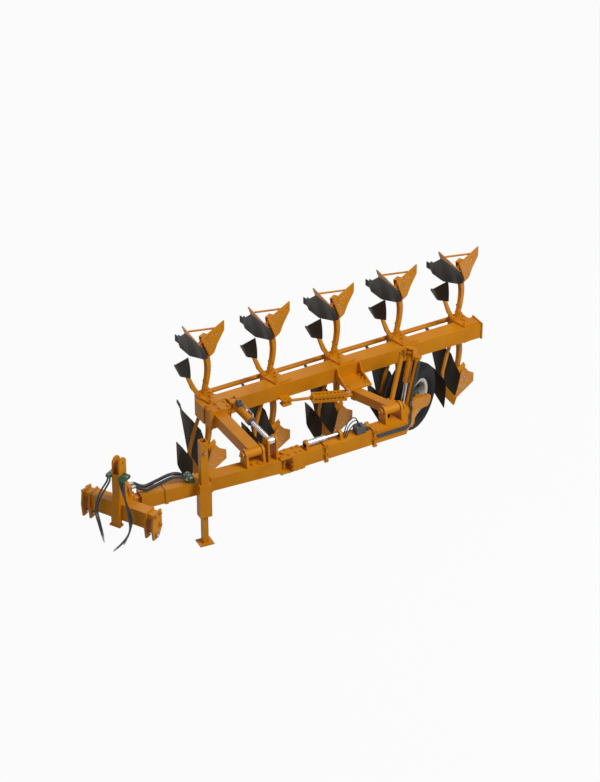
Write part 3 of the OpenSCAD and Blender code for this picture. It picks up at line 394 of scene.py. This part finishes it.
hitch_bolts = [(at_hitch(TOWER_U, side * TOWER_FACE, z), side * across_hitch)
               for side in (-1, 1) for z in SPACER_Z]
hitch_bolts += [(at_hitch(u, side * CLEVIS_FACE, z), side * across_hitch)
                for side in (-1, 1) for u, z in CLEVIS_BOLTS]
bolts("headstock_bolts", "headstock", "M20", hitch_bolts)
spacers = [turned("tower_spacer", SPACER, at_hitch(TOWER_U, 0, z), across_hitch) for z in SPACER_Z]
one_piece("tower_spacers", spacers, enamel, "headstock", "orange_paint")


# Tower front. A bent plate, welded over both sides of the tower from its foot to the fork for
# the top link, which closes it towards the tractor.
def soften(piece, width, segments=2):
    """Rounds all edges of the active piece a little."""
    soft = piece.modifiers.new("soft", "BEVEL")
    soft.width = width
    soft.segments = segments
    bpy.ops.object.modifier_apply(modifier="soft")


PLATE_LINE = ((-285.2, 612), (-285.2, 868), (-242.2, 982), (-242.2, 1290))
PLATE_HALF = 50
PLATE_T = 0.014
front_plate = trace("front_plate", [at_hitch(u, -PLATE_HALF, z) for u, z in PLATE_LINE])
bpy.ops.mesh.select_all(action="SELECT")
plate_across = at_hitch(0, 2 * PLATE_HALF, 0) - at_hitch(0, 0, 0)
bpy.ops.mesh.extrude_region_move(TRANSFORM_OT_translate={"value": plate_across})
bpy.ops.object.mode_set(mode="OBJECT")
forward = at_hitch(-1000, 0, 0) - at_hitch(0, 0, 0)
if sum(face.normal.dot(forward) for face in front_plate.data.polygons) < 0:
    front_plate.data.flip_normals()
wall = front_plate.modifiers.new("wall", "SOLIDIFY")
wall.thickness = PLATE_T
wall.offset = 1
bpy.ops.object.modifier_apply(modifier="wall")
soften(front_plate, 0.003)
one_piece("tower_front_plate", [front_plate], enamel, "headstock", "orange_paint")

# Hose clamps. Two-part blocks moulded in green polypropylene, half matt with a grain that is
# drawn coarse to show, and bolted on the tower and the drawbar.
GRAIN_MM = 4
moulded, shader, places = new_finish("green_polypropylene")
grain = add(moulded, "ShaderNodeTexNoise", {"Scale": 1000 / GRAIN_MM, "Detail": 2.0}, {"Vector": places})
tone = add(moulded, "ShaderNodeMixRGB", {"Color1": linear("#123F1E"), "Color2": linear("#1D5A2B")},
           {"Fac": grain.outputs["Fac"]})
relief = add(moulded, "ShaderNodeBump", {"Strength": 0.2, "Distance": 0.0008},
             {"Height": grain.outputs["Fac"]})
set_finish(moulded, shader, {"Base Color": tone, "Normal": relief}, {"Roughness": 0.5, "IOR": 1.49})
finish_with(moulded, "hose_clamps", "feed_clamp")
CLAMP_U = -210
CLAMP_TOP = 1280
clamp_bolts = [(at_hitch(CLAMP_U, v, CLAMP_TOP), (0, 0, 1)) for v in (66, 98, -66, -100, -130)]
bolts("clamp_bolts", "headstock", "M8", clamp_bolts, zinc)

# Drawbar. A welded square tube with the swivel at its front, the turnover bracket behind, and
# two thick hoses on top, which run from a post over the swivel to a clamp beside the stand.
finish_with(enamel, "drawbar", "front_bracket", "mid_hinge")
DRAWBAR_TURN = math.radians(175.2)
CARRIER_Y = -930
CARRIER_Z = 760
HINGE_X = -750


def at_beam(x, y, z):
    """A point in millimetres of the part's layout, in metres of the plough."""
    return Vector(((x + SHIFT_MM[0]) / 1000, (y + SHIFT_MM[1]) / 1000, z / 1000))


def at_drawbar(x, y, z):
    """A point of the drawbar's own frame, from the mid hinge forwards."""
    c, s = math.cos(DRAWBAR_TURN), math.sin(DRAWBAR_TURN)
    return at_beam(HINGE_X + x * c - y * s, CARRIER_Y + x * s + y * c, CARRIER_Z + z)


def new_block(sizes, place, turn=0):
    """A block of these sizes in millimetres, at a place and turned about the upright."""
    bpy.ops.object.select_all(action="DESELECT")
    bpy.ops.mesh.primitive_cube_add(size=1)
    piece = bpy.context.object
    piece.scale = [size / 1000 for size in sizes]
    piece.rotation_euler = (0, 0, turn)
    piece.location = place
    bpy.ops.object.transform_apply(location=True, rotation=True, scale=True)
    return piece


BANDS = ((1530, 40), (960, 30))
BAND_SIDE = 200
BAND_T = 0.0098
along_bar = (at_drawbar(1, 0, 0) - at_drawbar(0, 0, 0)).normalized()
bands = []
for x, wide in BANDS:
    ring = new_block((wide, BAND_SIDE, BAND_SIDE), at_drawbar(x, 0, 0), DRAWBAR_TURN)
    bpy.ops.object.mode_set(mode="EDIT")
    bpy.ops.mesh.select_mode(type="FACE")
    bpy.ops.mesh.select_all(action="DESELECT")
    bpy.ops.object.mode_set(mode="OBJECT")
    for face in ring.data.polygons:
        face.select = abs(face.normal.dot(along_bar)) > 0.9
    bpy.ops.object.mode_set(mode="EDIT")
    bpy.ops.mesh.inset(thickness=BAND_T, depth=0)
    bpy.ops.mesh.bridge_edge_loops()
    bpy.ops.mesh.select_mode(type="VERT")
    bpy.ops.object.mode_set(mode="OBJECT")
    soften(ring, 0.002)
    bands.append(ring)
one_piece("drawbar_bands", bands, enamel, "carrier", "orange_paint")


def hose_mesh(name, line, diameter):
    """A hose along a line, made a mesh."""
    piece = hose_curve(name, line, diameter)
    bpy.ops.object.select_all(action="DESELECT")
    piece.select_set(True)
    bpy.context.view_layer.objects.active = piece
    bpy.ops.object.convert(target="MESH")
    return bpy.context.view_layer.objects.active


FEED_ROUTE = ((1950, 220), (1890, 214), (1820, 164), (1740, 138), (1600, 170), (1440, 208), (1330, 190),
              (1240, 121))
FEED_D = 0.04
FEED_Y = 36
FERRULE = ((19.8, 0), (22, 0), (22, 14), (21, 16), (22, 18), (22, 32), (21, 34), (22, 36), (22, 52),
           (19.8, 52), (19.8, 0))
feed = []
sleeves = []
for y in (-FEED_Y, FEED_Y):
    line = smooth_line([at_drawbar(x, y, z) for x, z in FEED_ROUTE], 8)
    feed.append(hose_mesh("feed_hose", line, FEED_D))
    sleeves.append(turned("feed_sleeve", FERRULE, line[0], line[1] - line[0]))
    sleeves.append(turned("feed_sleeve", FERRULE, line[-1], line[-2] - line[-1]))
one_piece("drawbar_hoses", feed, hose_rubber, "carrier", "hose_rubber", "feed_hoses")
one_piece("drawbar_hose_ferrules", sleeves, zinc, "carrier", "bright_steel")
FEED_CLAMP_X = 1205
FEED_CLAMP_TOP = 152
feed_bolts = [(at_drawbar(FEED_CLAMP_X, y, FEED_CLAMP_TOP), (0, 0, 1)) for y in (-62, 0, 62)]
bolts("feed_clamp_bolts", "carrier", "M10", feed_bolts, zinc)
HINGE_FACE = 114
FLANGE_X = -674
BRACKET_TOP = 870
hinge_bolts = [(at_beam(x, y, CARRIER_Z + s * HINGE_FACE), (0, 0, s))
               for x in (-800, -700, -600, -530) for y in (-985, -875) for s in (1, -1)]
bolts("mid_hinge_bolts", "carrier", "M20", hinge_bolts)
flange_bolts = [(at_beam(FLANGE_X, CARRIER_Y + y, CARRIER_Z + z), (-1, 0, 0))
                for y in (-101, 101) for z in (-65, 0, 65)]
bolts("hinge_flange_bolts", "carrier", "M16", flange_bolts)
bracket_bolts = [(at_beam(x, y, BRACKET_TOP), (0, 0, 1)) for x in (-1170, -1086) for y in (-950, -810)]
bolts("bracket_bolts", "carrier", "M20", bracket_bolts)

# Pivot caps. The two turnover pins are held endways by thick round plates, painted with the
# frame and fixed by one bolt each.
finish_with(chrome, "turnover_pins")
BEAM_Z = 1000
TURN_Y = -880
PIVOTS_X = (-1128, 770)
PIN_HALF = 146
CAP_T = 13
CAP = ((0, 0), (46, 0), (48, 2), (48, 10), (45, CAP_T), (0, CAP_T))
pin_faces = [(x + s * PIN_HALF, s) for x in PIVOTS_X for s in (-1, 1)]
caps = [turned("pivot_cap", CAP, at_beam(x, TURN_Y, BEAM_Z), (s, 0, 0)) for x, s in pin_faces]
one_piece("pivot_caps", caps, enamel, "carrier", "orange_paint")
bolts("pivot_cap_bolts", "carrier", "M20",
      [(at_beam(x + s * CAP_T, TURN_Y, BEAM_Z), (s, 0, 0)) for x, s in pin_faces])

# Parking stand. A square leg in a welded sleeve on the drawbar's side, held by a zinc-plated
# cross pin with a knob.
finish_with(enamel, "stand_sleeve", "stand_leg")
STAND_AT = (1080, 136, 560)
STAND_PIN = ((0, 46.2), (9, 46.2), (9, 64), (15, 66), (15, 74), (0, 74))
drawbar_across = (at_drawbar(0, 1, 0) - at_drawbar(0, 0, 0)).normalized()
pin = turned("stand_pin", STAND_PIN, at_drawbar(*STAND_AT), drawbar_across, 20)
one_piece("stand_pin", [pin], zinc, "carrier", "bright_steel")

# Carrier. The square tube behind the mid hinge carries two bolted collars and a small chromed
# cylinder, which lies between the eyes of two welded posts.
finish_with(enamel, "carrier_tube", "carrier_collars", "cart_frame", "lift_mast", "turnover_fork")
CARRIER_TOP = 850
CYL_X = (-440, 20)
CYL_Z = 920
EYE = ((0, -20), (44, -20), (46, -18), (46, 18), (44, 20), (0, 20))
POST = (40, 100, 75)
CYL_BODY = ((0, 20), (37.5, 20), (37.5, 250), (34, 254), (34, 262), (30, 262), (30, 272), (0, 272))
CYL_ROD = ((0, 262), (20, 262), (20, 436), (0, 436))
cylinder_parts = [turned("cylinder_eye", EYE, at_beam(x, CARRIER_Y, CYL_Z), (1, 0, 0)) for x in CYL_X]
for x in CYL_X:
    foot = new_block(POST, at_beam(x, CARRIER_Y, CARRIER_TOP + POST[2] / 2))
    soften(foot, 0.004)
    cylinder_parts.append(foot)
one_piece("carrier_cylinder_posts", cylinder_parts, enamel, "carrier", "orange_paint", "carrier_cylinder")
barrel = turned("cylinder_barrel", CYL_BODY, at_beam(CYL_X[0], CARRIER_Y, CYL_Z), (1, 0, 0))
stem = turned("cylinder_rod", CYL_ROD, at_beam(CYL_X[0], CARRIER_Y, CYL_Z), (1, 0, 0))
one_piece("carrier_cylinder_barrel", [barrel, stem], chrome, "carrier", "bright_steel", "carrier_cylinder")
COLLAR_X = (-230, 440)
COLLAR_T = 24
collar_bolts = [(at_beam(x + dx, CARRIER_Y + y, CARRIER_Z + z), (s, 0, 0)) for x in COLLAR_X
                for dx, s in ((0, -1), (COLLAR_T, 1)) for y in (-101, 101) for z in (-101, 0, 101)]
bolts("collar_bolts", "carrier", "M16", collar_bolts)

# Valve box. A sand-cast aluminium box, matt grey with pits that are drawn coarse to show, under
# a bolted lid; a pressure dome stands beside it, and three oil lines loop over to its lid.
PIT_MM = 30
cast, shader, places = new_finish("grey_cast_aluminium")
pits = add(cast, "ShaderNodeTexNoise", {"Scale": 1000 / PIT_MM, "Detail": 5.0}, {"Vector": places})
tone = add(cast, "ShaderNodeMixRGB", {"Color1": linear("#3E4042"), "Color2": linear("#56585A")},
           {"Fac": pits.outputs["Fac"]})
relief = add(cast, "ShaderNodeBump", {"Strength": 0.3, "Distance": 0.0008}, {"Height": pits.outputs["Fac"]})
set_finish(cast, shader, {"Base Color": tone, "Normal": relief}, {"Roughness": 0.55})
finish_with(cast, "valve_box")
LID_TOP = 945
DOME_X = 395
DOME_FOOT = 910
lid_bolts = [(at_beam(x, CARRIER_Y + y, LID_TOP), (0, 0, 1)) for x in (245, 335) for y in (-45, 35)]
bolts("valve_box_bolts", "carrier", "M6", lid_bolts, zinc)
dome_round = tuple((36 * math.cos(a), 2 + 34 * math.sin(a)) for a in (0.3, 0.6, 0.9, 1.2, 1.4))
DOME = ((0, 0), (35, 0), (36, 2)) + dome_round + ((0, 36),)
dome = turned("pressure_dome", DOME, at_beam(DOME_X, CARRIER_Y, DOME_FOOT), (0, 0, 1), 36)
one_piece("pressure_dome", [dome], enamel, "carrier", "orange_paint")
LINE_D = 0.014
lines = []
for k in range(3):
    y = -970 + 35 * k
    loop = ((60, 857), (95, 868), (140, 960 + 18 * k), (205, 1010 + 22 * k), (265, 1000 + 16 * k), (290, 946))
    lines.append(hose_mesh("oil_line", smooth_line([at_beam(x, y, z) for x, z in loop], 6), LINE_D))
one_piece("valve_oil_lines", lines, hose_rubber, "carrier", "hose_rubber")

# Beam. A square tube with welded end plates, forged head blocks bolted at its far side and a
# round link bar that joins the heads.
finish_with(enamel, "beam", "beam_ends", "link_bar", "heads")
FIRST_LEG = (-1120, 380)
SPACING = 900
COUNT = 5
HEAD_FACE = 122
HEAD_BOLTS = ((62, 330), (75, 425), (-72, 425), (20, 250), (-20, 160))
head_bolts = [(at_beam(FIRST_LEG[0] + i * SPACING + dx, y, BEAM_Z + s * HEAD_FACE), (0, 0, s))
              for i in range(COUNT) for s in (1, -1) for dx, y in HEAD_BOLTS]
bolts("head_bolts", "plough_frame", "M20", head_bolts)

# Turning arms. Box sections welded to bored hubs; the front one ends in a block with two bolted
# plates, the rear one in an upright block under a bracket on the beam.
finish_with(enamel, "front_arm", "rear_arm", "rear_console", "width_cylinder", "cylinder_guard",
            "turnover_lugs")
ARM_FACE = 120
BRACKET_FOOT = 935
arm_bolts = [(at_beam(x, y, BEAM_Z + s * ARM_FACE), (0, 0, s))
             for s in (1, -1) for x in (-1235, -1120, -1005) for y in (-30, 75)]
arm_bolts += [(at_beam(x, y, BRACKET_FOOT), (0, 0, 1)) for x in (610, 860) for y in (-120, -40, 40)]
bolts("arm_bolts", "plough_frame", "M20", arm_bolts)

# Turnover cylinder. A painted barrel on the beam's lugs with a chromed rod, a steel pipe along
# it and a valve block at its base.
finish_with(enamel, "turnover_barrel")
finish_with(chrome, "turnover_rod")
TURN_X = -905
TURN_Z = 1100
GLAND_Y = -430
GLAND = ((30.3, 0), (52, 0), (54, -3), (54, -14), (50, -18), (36, -18), (33, -22), (30.3, -22), (30.3, 0))
gland = turned("gland", GLAND, at_beam(TURN_X, GLAND_Y, TURN_Z), (0, 1, 0), 40)
one_piece("turnover_gland", [gland], cast, "turnover_cylinder", "grey_paint")
PIPE_D = 0.016
PIPE_ROUTE = ((40, -70, 40), (46, -90, 62), (46, -200, 62), (46, -330, 62), (46, -385, 60), (40, -400, 42))
pipe_line = smooth_line([at_beam(TURN_X + x, y, TURN_Z + z) for x, y, z in PIPE_ROUTE], 6)
pipe = hose_mesh("turnover_pipe", pipe_line, PIPE_D)
one_piece("turnover_pipe", [pipe], zinc, "turnover_cylinder", "bright_steel")
VALVE = (70, 90, 52)
VALVE_Y = -120
VALVE_Z = TURN_Z + 76
NIPPLE = ((0, 0), (13, 0), (13, 14), (10, 15), (10, 22), (7, 23), (0, 23))
block = new_block(VALVE, at_beam(TURN_X, VALVE_Y, VALVE_Z))
soften(block, 0.005, 3)
nipples = [turned("nipple", NIPPLE, at_beam(TURN_X + x, VALVE_Y + y, VALVE_Z + VALVE[2] / 2), (0, 0, 1), 20)
           for x, y in ((-18, -22), (-18, 22), (18, 0))]
one_piece("turnover_valve_block", [block] + nipples, cast, "turnover_cylinder", "grey_paint")

# Bodies. Each has a forged leg, a cast frog with a landside plate, a share, and a mouldboard
# pressed from triple-layer steel; the upper ones are mirror images for the return furrow.
finish_with(enamel, "legs", "frogs", "landsides", "shares", "skimmer_stalks", "stays")


def at_body(i, u, v, z, upper=False):
    """A point in the travel frame at a body's leg, mirrored about the beam for an upper body."""
    return at_beam(FIRST_LEG[0] + i * SPACING + u * math.cos(TRAVEL) - v * math.sin(TRAVEL),
                   FIRST_LEG[1] + u * math.sin(TRAVEL) + v * math.cos(TRAVEL), 2 * BEAM_Z - z if upper else z)


across_body = (at_body(0, 0, 1, 0) - at_body(0, 0, 0, 0)).normalized()
LEG_FACE = 22
LEG_BOLTS = ((22, 835), (45, 745))
STALK_FACE = 12
STALK_BOLT = (-112, 840)
LAND_V = -100
LAND_STUDS = ((-90, 70), (-40, 130), (20, 80), (80, 80), (10, 190), (75, 200), (40, 270), (150, 110))
STUD = ((0, 3), (9, 3), (12, 1), (12.5, 0), (0, 0))
leg_bolts = []
land_studs = []
for i in range(COUNT):
    for upper in (False, True):
        leg_bolts += [(at_body(i, u, s * LEG_FACE, z, upper), s * across_body)
                      for s in (-1, 1) for u, z in LEG_BOLTS]
        leg_bolts += [(at_body(i, STALK_BOLT[0], s * STALK_FACE, STALK_BOLT[1], upper), s * across_body)
                      for s in (-1, 1)]
        land_studs += [(at_body(i, u, LAND_V, z, upper), -across_body) for u, z in LAND_STUDS]
bolts("leg_bolts", "plough_frame", "M16", leg_bolts)
stud = turned("plough_stud", STUD, (0, 0, 0), (0, 0, 1), 16)
one_piece("landside_studs", set_copies(stud, land_studs), zinc, "plough_frame", "bright_steel")
bpy.data.objects.remove(stud)

# Mouldboards and skimmers. Hot-rolled steel plate, pressed to a twist, under a dark transport
# lacquer with a soft sheen that lets long faint streaks from rolling show.
STREAK_MM = 22
lacquer, shader, places = new_finish("dark_lacquered_plough_steel")
stretch = add(lacquer, "ShaderNodeMapping", {"Scale": (1, 1, 0.15)}, {"Vector": places})
streak = add(lacquer, "ShaderNodeTexNoise", {"Scale": 1000 / STREAK_MM, "Detail": 5.0},
             {"Vector": stretch.outputs[0]})
tone = add(lacquer, "ShaderNodeMixRGB", {"Color1": linear("#211A10"), "Color2": linear("#2F2719")},
           {"Fac": streak.outputs["Fac"]})
sheen = add(lacquer, "ShaderNodeMapRange", {"To Min": 0.45, "To Max": 0.65}, {"Value": streak.outputs["Fac"]})
relief = add(lacquer, "ShaderNodeBump", {"Strength": 0.1, "Distance": 0.0006},
             {"Height": streak.outputs["Fac"]})
set_finish(lacquer, shader, {"Base Color": tone, "Roughness": sheen, "Normal": relief}, {"IOR": 1.22})
MOULD_LOW = ((0, -290, -125, 0), (0.5, -40, 268, 0), (0.8, 255, 500, 330), (0.86, 355, 590, 400),
             (0.87, 372, 604, 452), (1, 440, 690, 480))
MOULD_HIGH = ((0, -75, -116, 318), (0.2, -20, -10, 395), (0.35, 90, 122, 480), (0.55, 148, 288, 535),
              (0.8, 262, 505, 545), (0.86, 330, 570, 540), (0.87, 345, 582, 552), (1, 400, 665, 570))
MOULD_HOLLOW = 38
MOULD_T = 12
SKIM_LOW = ((0, -515, -122, 67), (0.55, -459, 108, 280), (1, -250, 255, 425))
SKIM_HIGH = ((0, -433, -93, 410), (0.55, -359, 101, 490), (1, -243, 261, 452))
SKIM_HOLLOW = 14
SKIM_T = 10


def edge_point(edge, s):
    """A point on one of the surface's two edges."""
    i = 0
    while i < len(edge) - 2 and s > edge[i + 1][0]:
        i += 1
    a, b = edge[i], edge[i + 1]
    w = (s - a[0]) / (b[0] - a[0])
    return Vector([p + (q - p) * w for p, q in zip(a[1:], b[1:])])


def spread(a, b, n):
    """Even values from one to another."""
    return [a + (b - a) * k / n for k in range(n + 1)]


def pressed_plate(name, node, low, high, hollow, s_values, t_values, thick):
    """A curved plate for every body, below and above the beam, pressed between two edges."""
    made = []
    across = len(t_values)
    for i in range(COUNT):
        for upper in (False, True):
            bpy.ops.object.select_all(action="DESELECT")
            bpy.ops.mesh.primitive_grid_add(x_subdivisions=across - 1, y_subdivisions=len(s_values) - 1,
                                            size=1)
            piece = bpy.context.object
            for n, vertex in enumerate(piece.data.vertices):
                s, t = s_values[n // across], t_values[n % across]
                p = edge_point(low, s).lerp(edge_point(high, s), t)
                bow = hollow * math.sin(math.pi * t) * (1 - s)
                vertex.co = at_body(i, p.x + bow, p.y, p.z, upper)
            bpy.ops.object.mode_set(mode="EDIT")
            bpy.ops.mesh.select_all(action="SELECT")
            bpy.ops.mesh.normals_make_consistent(inside=False)
            bpy.ops.object.mode_set(mode="OBJECT")
            front = at_body(i, -1, 0.6, 0) - at_body(i, 0, 0, 0)
            if sum(f.normal.dot(front) * f.area for f in piece.data.polygons) < 0:
                piece.data.flip_normals()
            wall = piece.modifiers.new("wall", "SOLIDIFY")
            wall.thickness = thick / 1000
            wall.offset = -1
            wall.use_even_offset = True
            bpy.ops.object.modifier_apply(modifier="wall")
            bpy.ops.object.shade_smooth_by_angle(angle=math.radians(40))
            made.append(piece)
    one_piece(name, made, lacquer, "plough_frame", "soil_steel", node)


pressed_plate("pressed_mouldboards", "mouldboards", MOULD_LOW, MOULD_HIGH, MOULD_HOLLOW,
              spread(0.02, 0.86, 28) + [0.87, 0.93, 1.0], spread(0.2415, 1.0, 10), MOULD_T)
pressed_plate("pressed_skimmers", "skimmers", SKIM_LOW, SKIM_HIGH, SKIM_HOLLOW,
              spread(0, 1, 12), spread(0, 1, 6), SKIM_T)

# Wheel lift. A painted cylinder with a chromed rod between the mast and the cranked wheel arm,
# fed by three hoses that lie down the mast and along the carrier's side.
finish_with(enamel, "wheel_arm", "lift_barrel")
finish_with(chrome, "lift_rod")
WHEEL_MM = (1578, 13)


def at_wheel(u, v, z):
    """A point in the travel frame at the wheel's centre."""
    return at_beam(WHEEL_MM[0] + u * math.cos(TRAVEL) - v * math.sin(TRAVEL),
                   WHEEL_MM[1] + u * math.sin(TRAVEL) + v * math.cos(TRAVEL), z)


LIFT_LINE_D = 0.016
LIFT_LINE_GAP = 19
CARRIER_SIDE = -1030
lift_lines = []
for k in range(3):
    up = LIFT_LINE_GAP * k
    out = up * 0.9
    rise = up * 0.4
    route = [at_wheel(-452 - out, -378, 1304 + rise), at_wheel(-520 - out, -378, 1155 + rise),
             at_wheel(-600 - out, -380, 979 + rise), at_wheel(-668 - out, -390, 836 + rise),
             at_wheel(-725 - out, -420, 812), at_wheel(-775 - out, -455, 810), at_beam(1040, -865 - up, 810),
             at_beam(965, -985 - up * 0.6, 806), at_beam(915, -1024 - up * 0.1, 800 - up)]
    route += [at_beam(x, CARRIER_SIDE, 796 - up) for x in (860, 660, 466)]
    lift_lines.append(hose_mesh("lift_line", smooth_line(route, 5), LIFT_LINE_D))
one_piece("lift_oil_lines", lift_lines, hose_rubber, "carrier", "hose_rubber")

# Tyre. A ribbed implement tyre of black carbon rubber, nearly matt, with the fine roughness of
# its mould, which is drawn coarse to show.
TREAD_MM = 7
tread, shader, places = new_finish("black_tyre_rubber")
dust = add(tread, "ShaderNodeTexNoise", {"Scale": 1000 / TREAD_MM, "Detail": 4.0}, {"Vector": places})
tone = add(tread, "ShaderNodeMixRGB", {"Color1": linear("#0C0C0E"), "Color2": linear("#151517")},
           {"Fac": dust.outputs["Fac"]})
relief = add(tread, "ShaderNodeBump", {"Strength": 0.3, "Distance": 0.001}, {"Height": dust.outputs["Fac"]})
set_finish(tread, shader, {"Base Color": tone, "Normal": relief}, {"Roughness": 0.62, "IOR": 1.26})
TYRE_R = 440
RIM_R = 235
half = [(RIM_R + 0.3, 114), (RIM_R + 14, 114.9), (RIM_R + 30, 134), (RIM_R + 48, 147), (RIM_R + 66, 152),
        (RIM_R + 70, 155), (RIM_R + 76, 155), (RIM_R + 80, 153), (TYRE_R - 90, 160), (TYRE_R - 60, 158),
        (TYRE_R - 46, 154), (TYRE_R - 42, 146), (TYRE_R - 30, 144), (TYRE_R - 22, 138), (TYRE_R - 12, 128),
        (TYRE_R - 3, 112), (TYRE_R, 100), (TYRE_R, 74), (TYRE_R - 3, 72), (TYRE_R - 17, 69),
        (TYRE_R - 17, 57), (TYRE_R - 3, 54), (TYRE_R, 52), (TYRE_R, 22), (TYRE_R - 3, 20),
        (TYRE_R - 17, 17), (TYRE_R - 17, 0)]
profile = half + [(r, -h) for r, h in reversed(half[:-1])]
profile.append(profile[0])
axle = (at_wheel(0, 1, 0) - at_wheel(0, 0, 0)).normalized()
hub = at_wheel(0, 0, TYRE_R)
tyre = turned("ribbed_tyre", profile, hub, axle, 96)
one_piece("ribbed_tyre", [tyre], tread, "wheel", "tyre", "tyre")

# Rim. A rolled steel band with turned-out edges that hold the tyre's beads, in pale grey enamel
# that has chalked a little.
CHALK_MM = 40
rim_paint, shader, places = new_finish("pale_grey_enamel")
chalk = add(rim_paint, "ShaderNodeTexNoise", {"Scale": 1000 / CHALK_MM, "Detail": 4.0}, {"Vector": places})
tone = add(rim_paint, "ShaderNodeMixRGB", {"Color1": linear("#B9B4A8"), "Color2": linear("#D6D2C8")},
           {"Fac": chalk.outputs["Fac"]})
set_finish(rim_paint, shader, {"Base Color": tone}, {"Roughness": 0.42, "IOR": 1.5})
BAND = ((205, -115.2), (245, -121), (247, -119), (247, -115.4), (235.2, -115.4), (235.2, 115.4), (247, 115.4),
        (247, 119), (245, 121), (205, 115.2), (200, 108), (200, 60), (202, 40), (202, -40), (200, -60),
        (200, -108), (205, -115.2))
band = turned("rim_band", BAND, hub, axle, 96)
one_piece("rim_band", [band], rim_paint, "wheel", "rim_paint", "rim")

# Wheel disc. Pressed steel with a dished hub, eight zinc-plated nuts on each side and a pressed cap
# over the bearing. Disc and cap are coloured a slightly mottled near black, which is painted shade
# for the hollow inside the rim.
BRUSH_MM = 20
painted_shade_black, shader, places = new_finish("near_black_painted_shade")
mottle = add(painted_shade_black, "ShaderNodeTexNoise", {"Scale": 1000 / BRUSH_MM, "Detail": 3.0}, {"Vector": places})
tone = add(painted_shade_black, "ShaderNodeMixRGB", {"Color1": linear("#131314"), "Color2": linear("#202022")},
           {"Fac": mottle.outputs["Fac"]})
set_finish(painted_shade_black, shader, {"Base Color": tone}, {"Roughness": 0.4, "IOR": 1.4})
DISC = ((35.3, -90), (86, -90), (90, -87), (120, -29), (124, -26), (203, -26), (203, -10), (130, -10),
        (100, 36), (96, 40), (35.3, 40), (35.3, -90))
disc = turned("wheel_disc", DISC, hub, axle, 64)
one_piece("wheel_disc", [disc], painted_shade_black, "wheel", "rim_paint", "rim")
NUTS = 8
NUT_R = 165
nut_spots = []
for k in range(NUTS):
    a = 2 * math.pi * k / NUTS
    for v, s in ((-26, -1), (-10, 1)):
        nut_spots.append((at_wheel(NUT_R * math.cos(a), v, TYRE_R + NUT_R * math.sin(a)), s * axle))
bolts("wheel_nuts", "wheel", "M18", nut_spots, zinc)
# The cap takes the same near black, which is painted shade for the hollow of the disc.
HUB_CAP = ((0, 40.2), (60, 40.2), (60, 84), (57, 89), (45, 93), (0, 95))
cap = turned("hub_cap", HUB_CAP, hub, axle, 40)
one_piece("hub_cap", [cap], painted_shade_black, "wheel", "rim_paint")
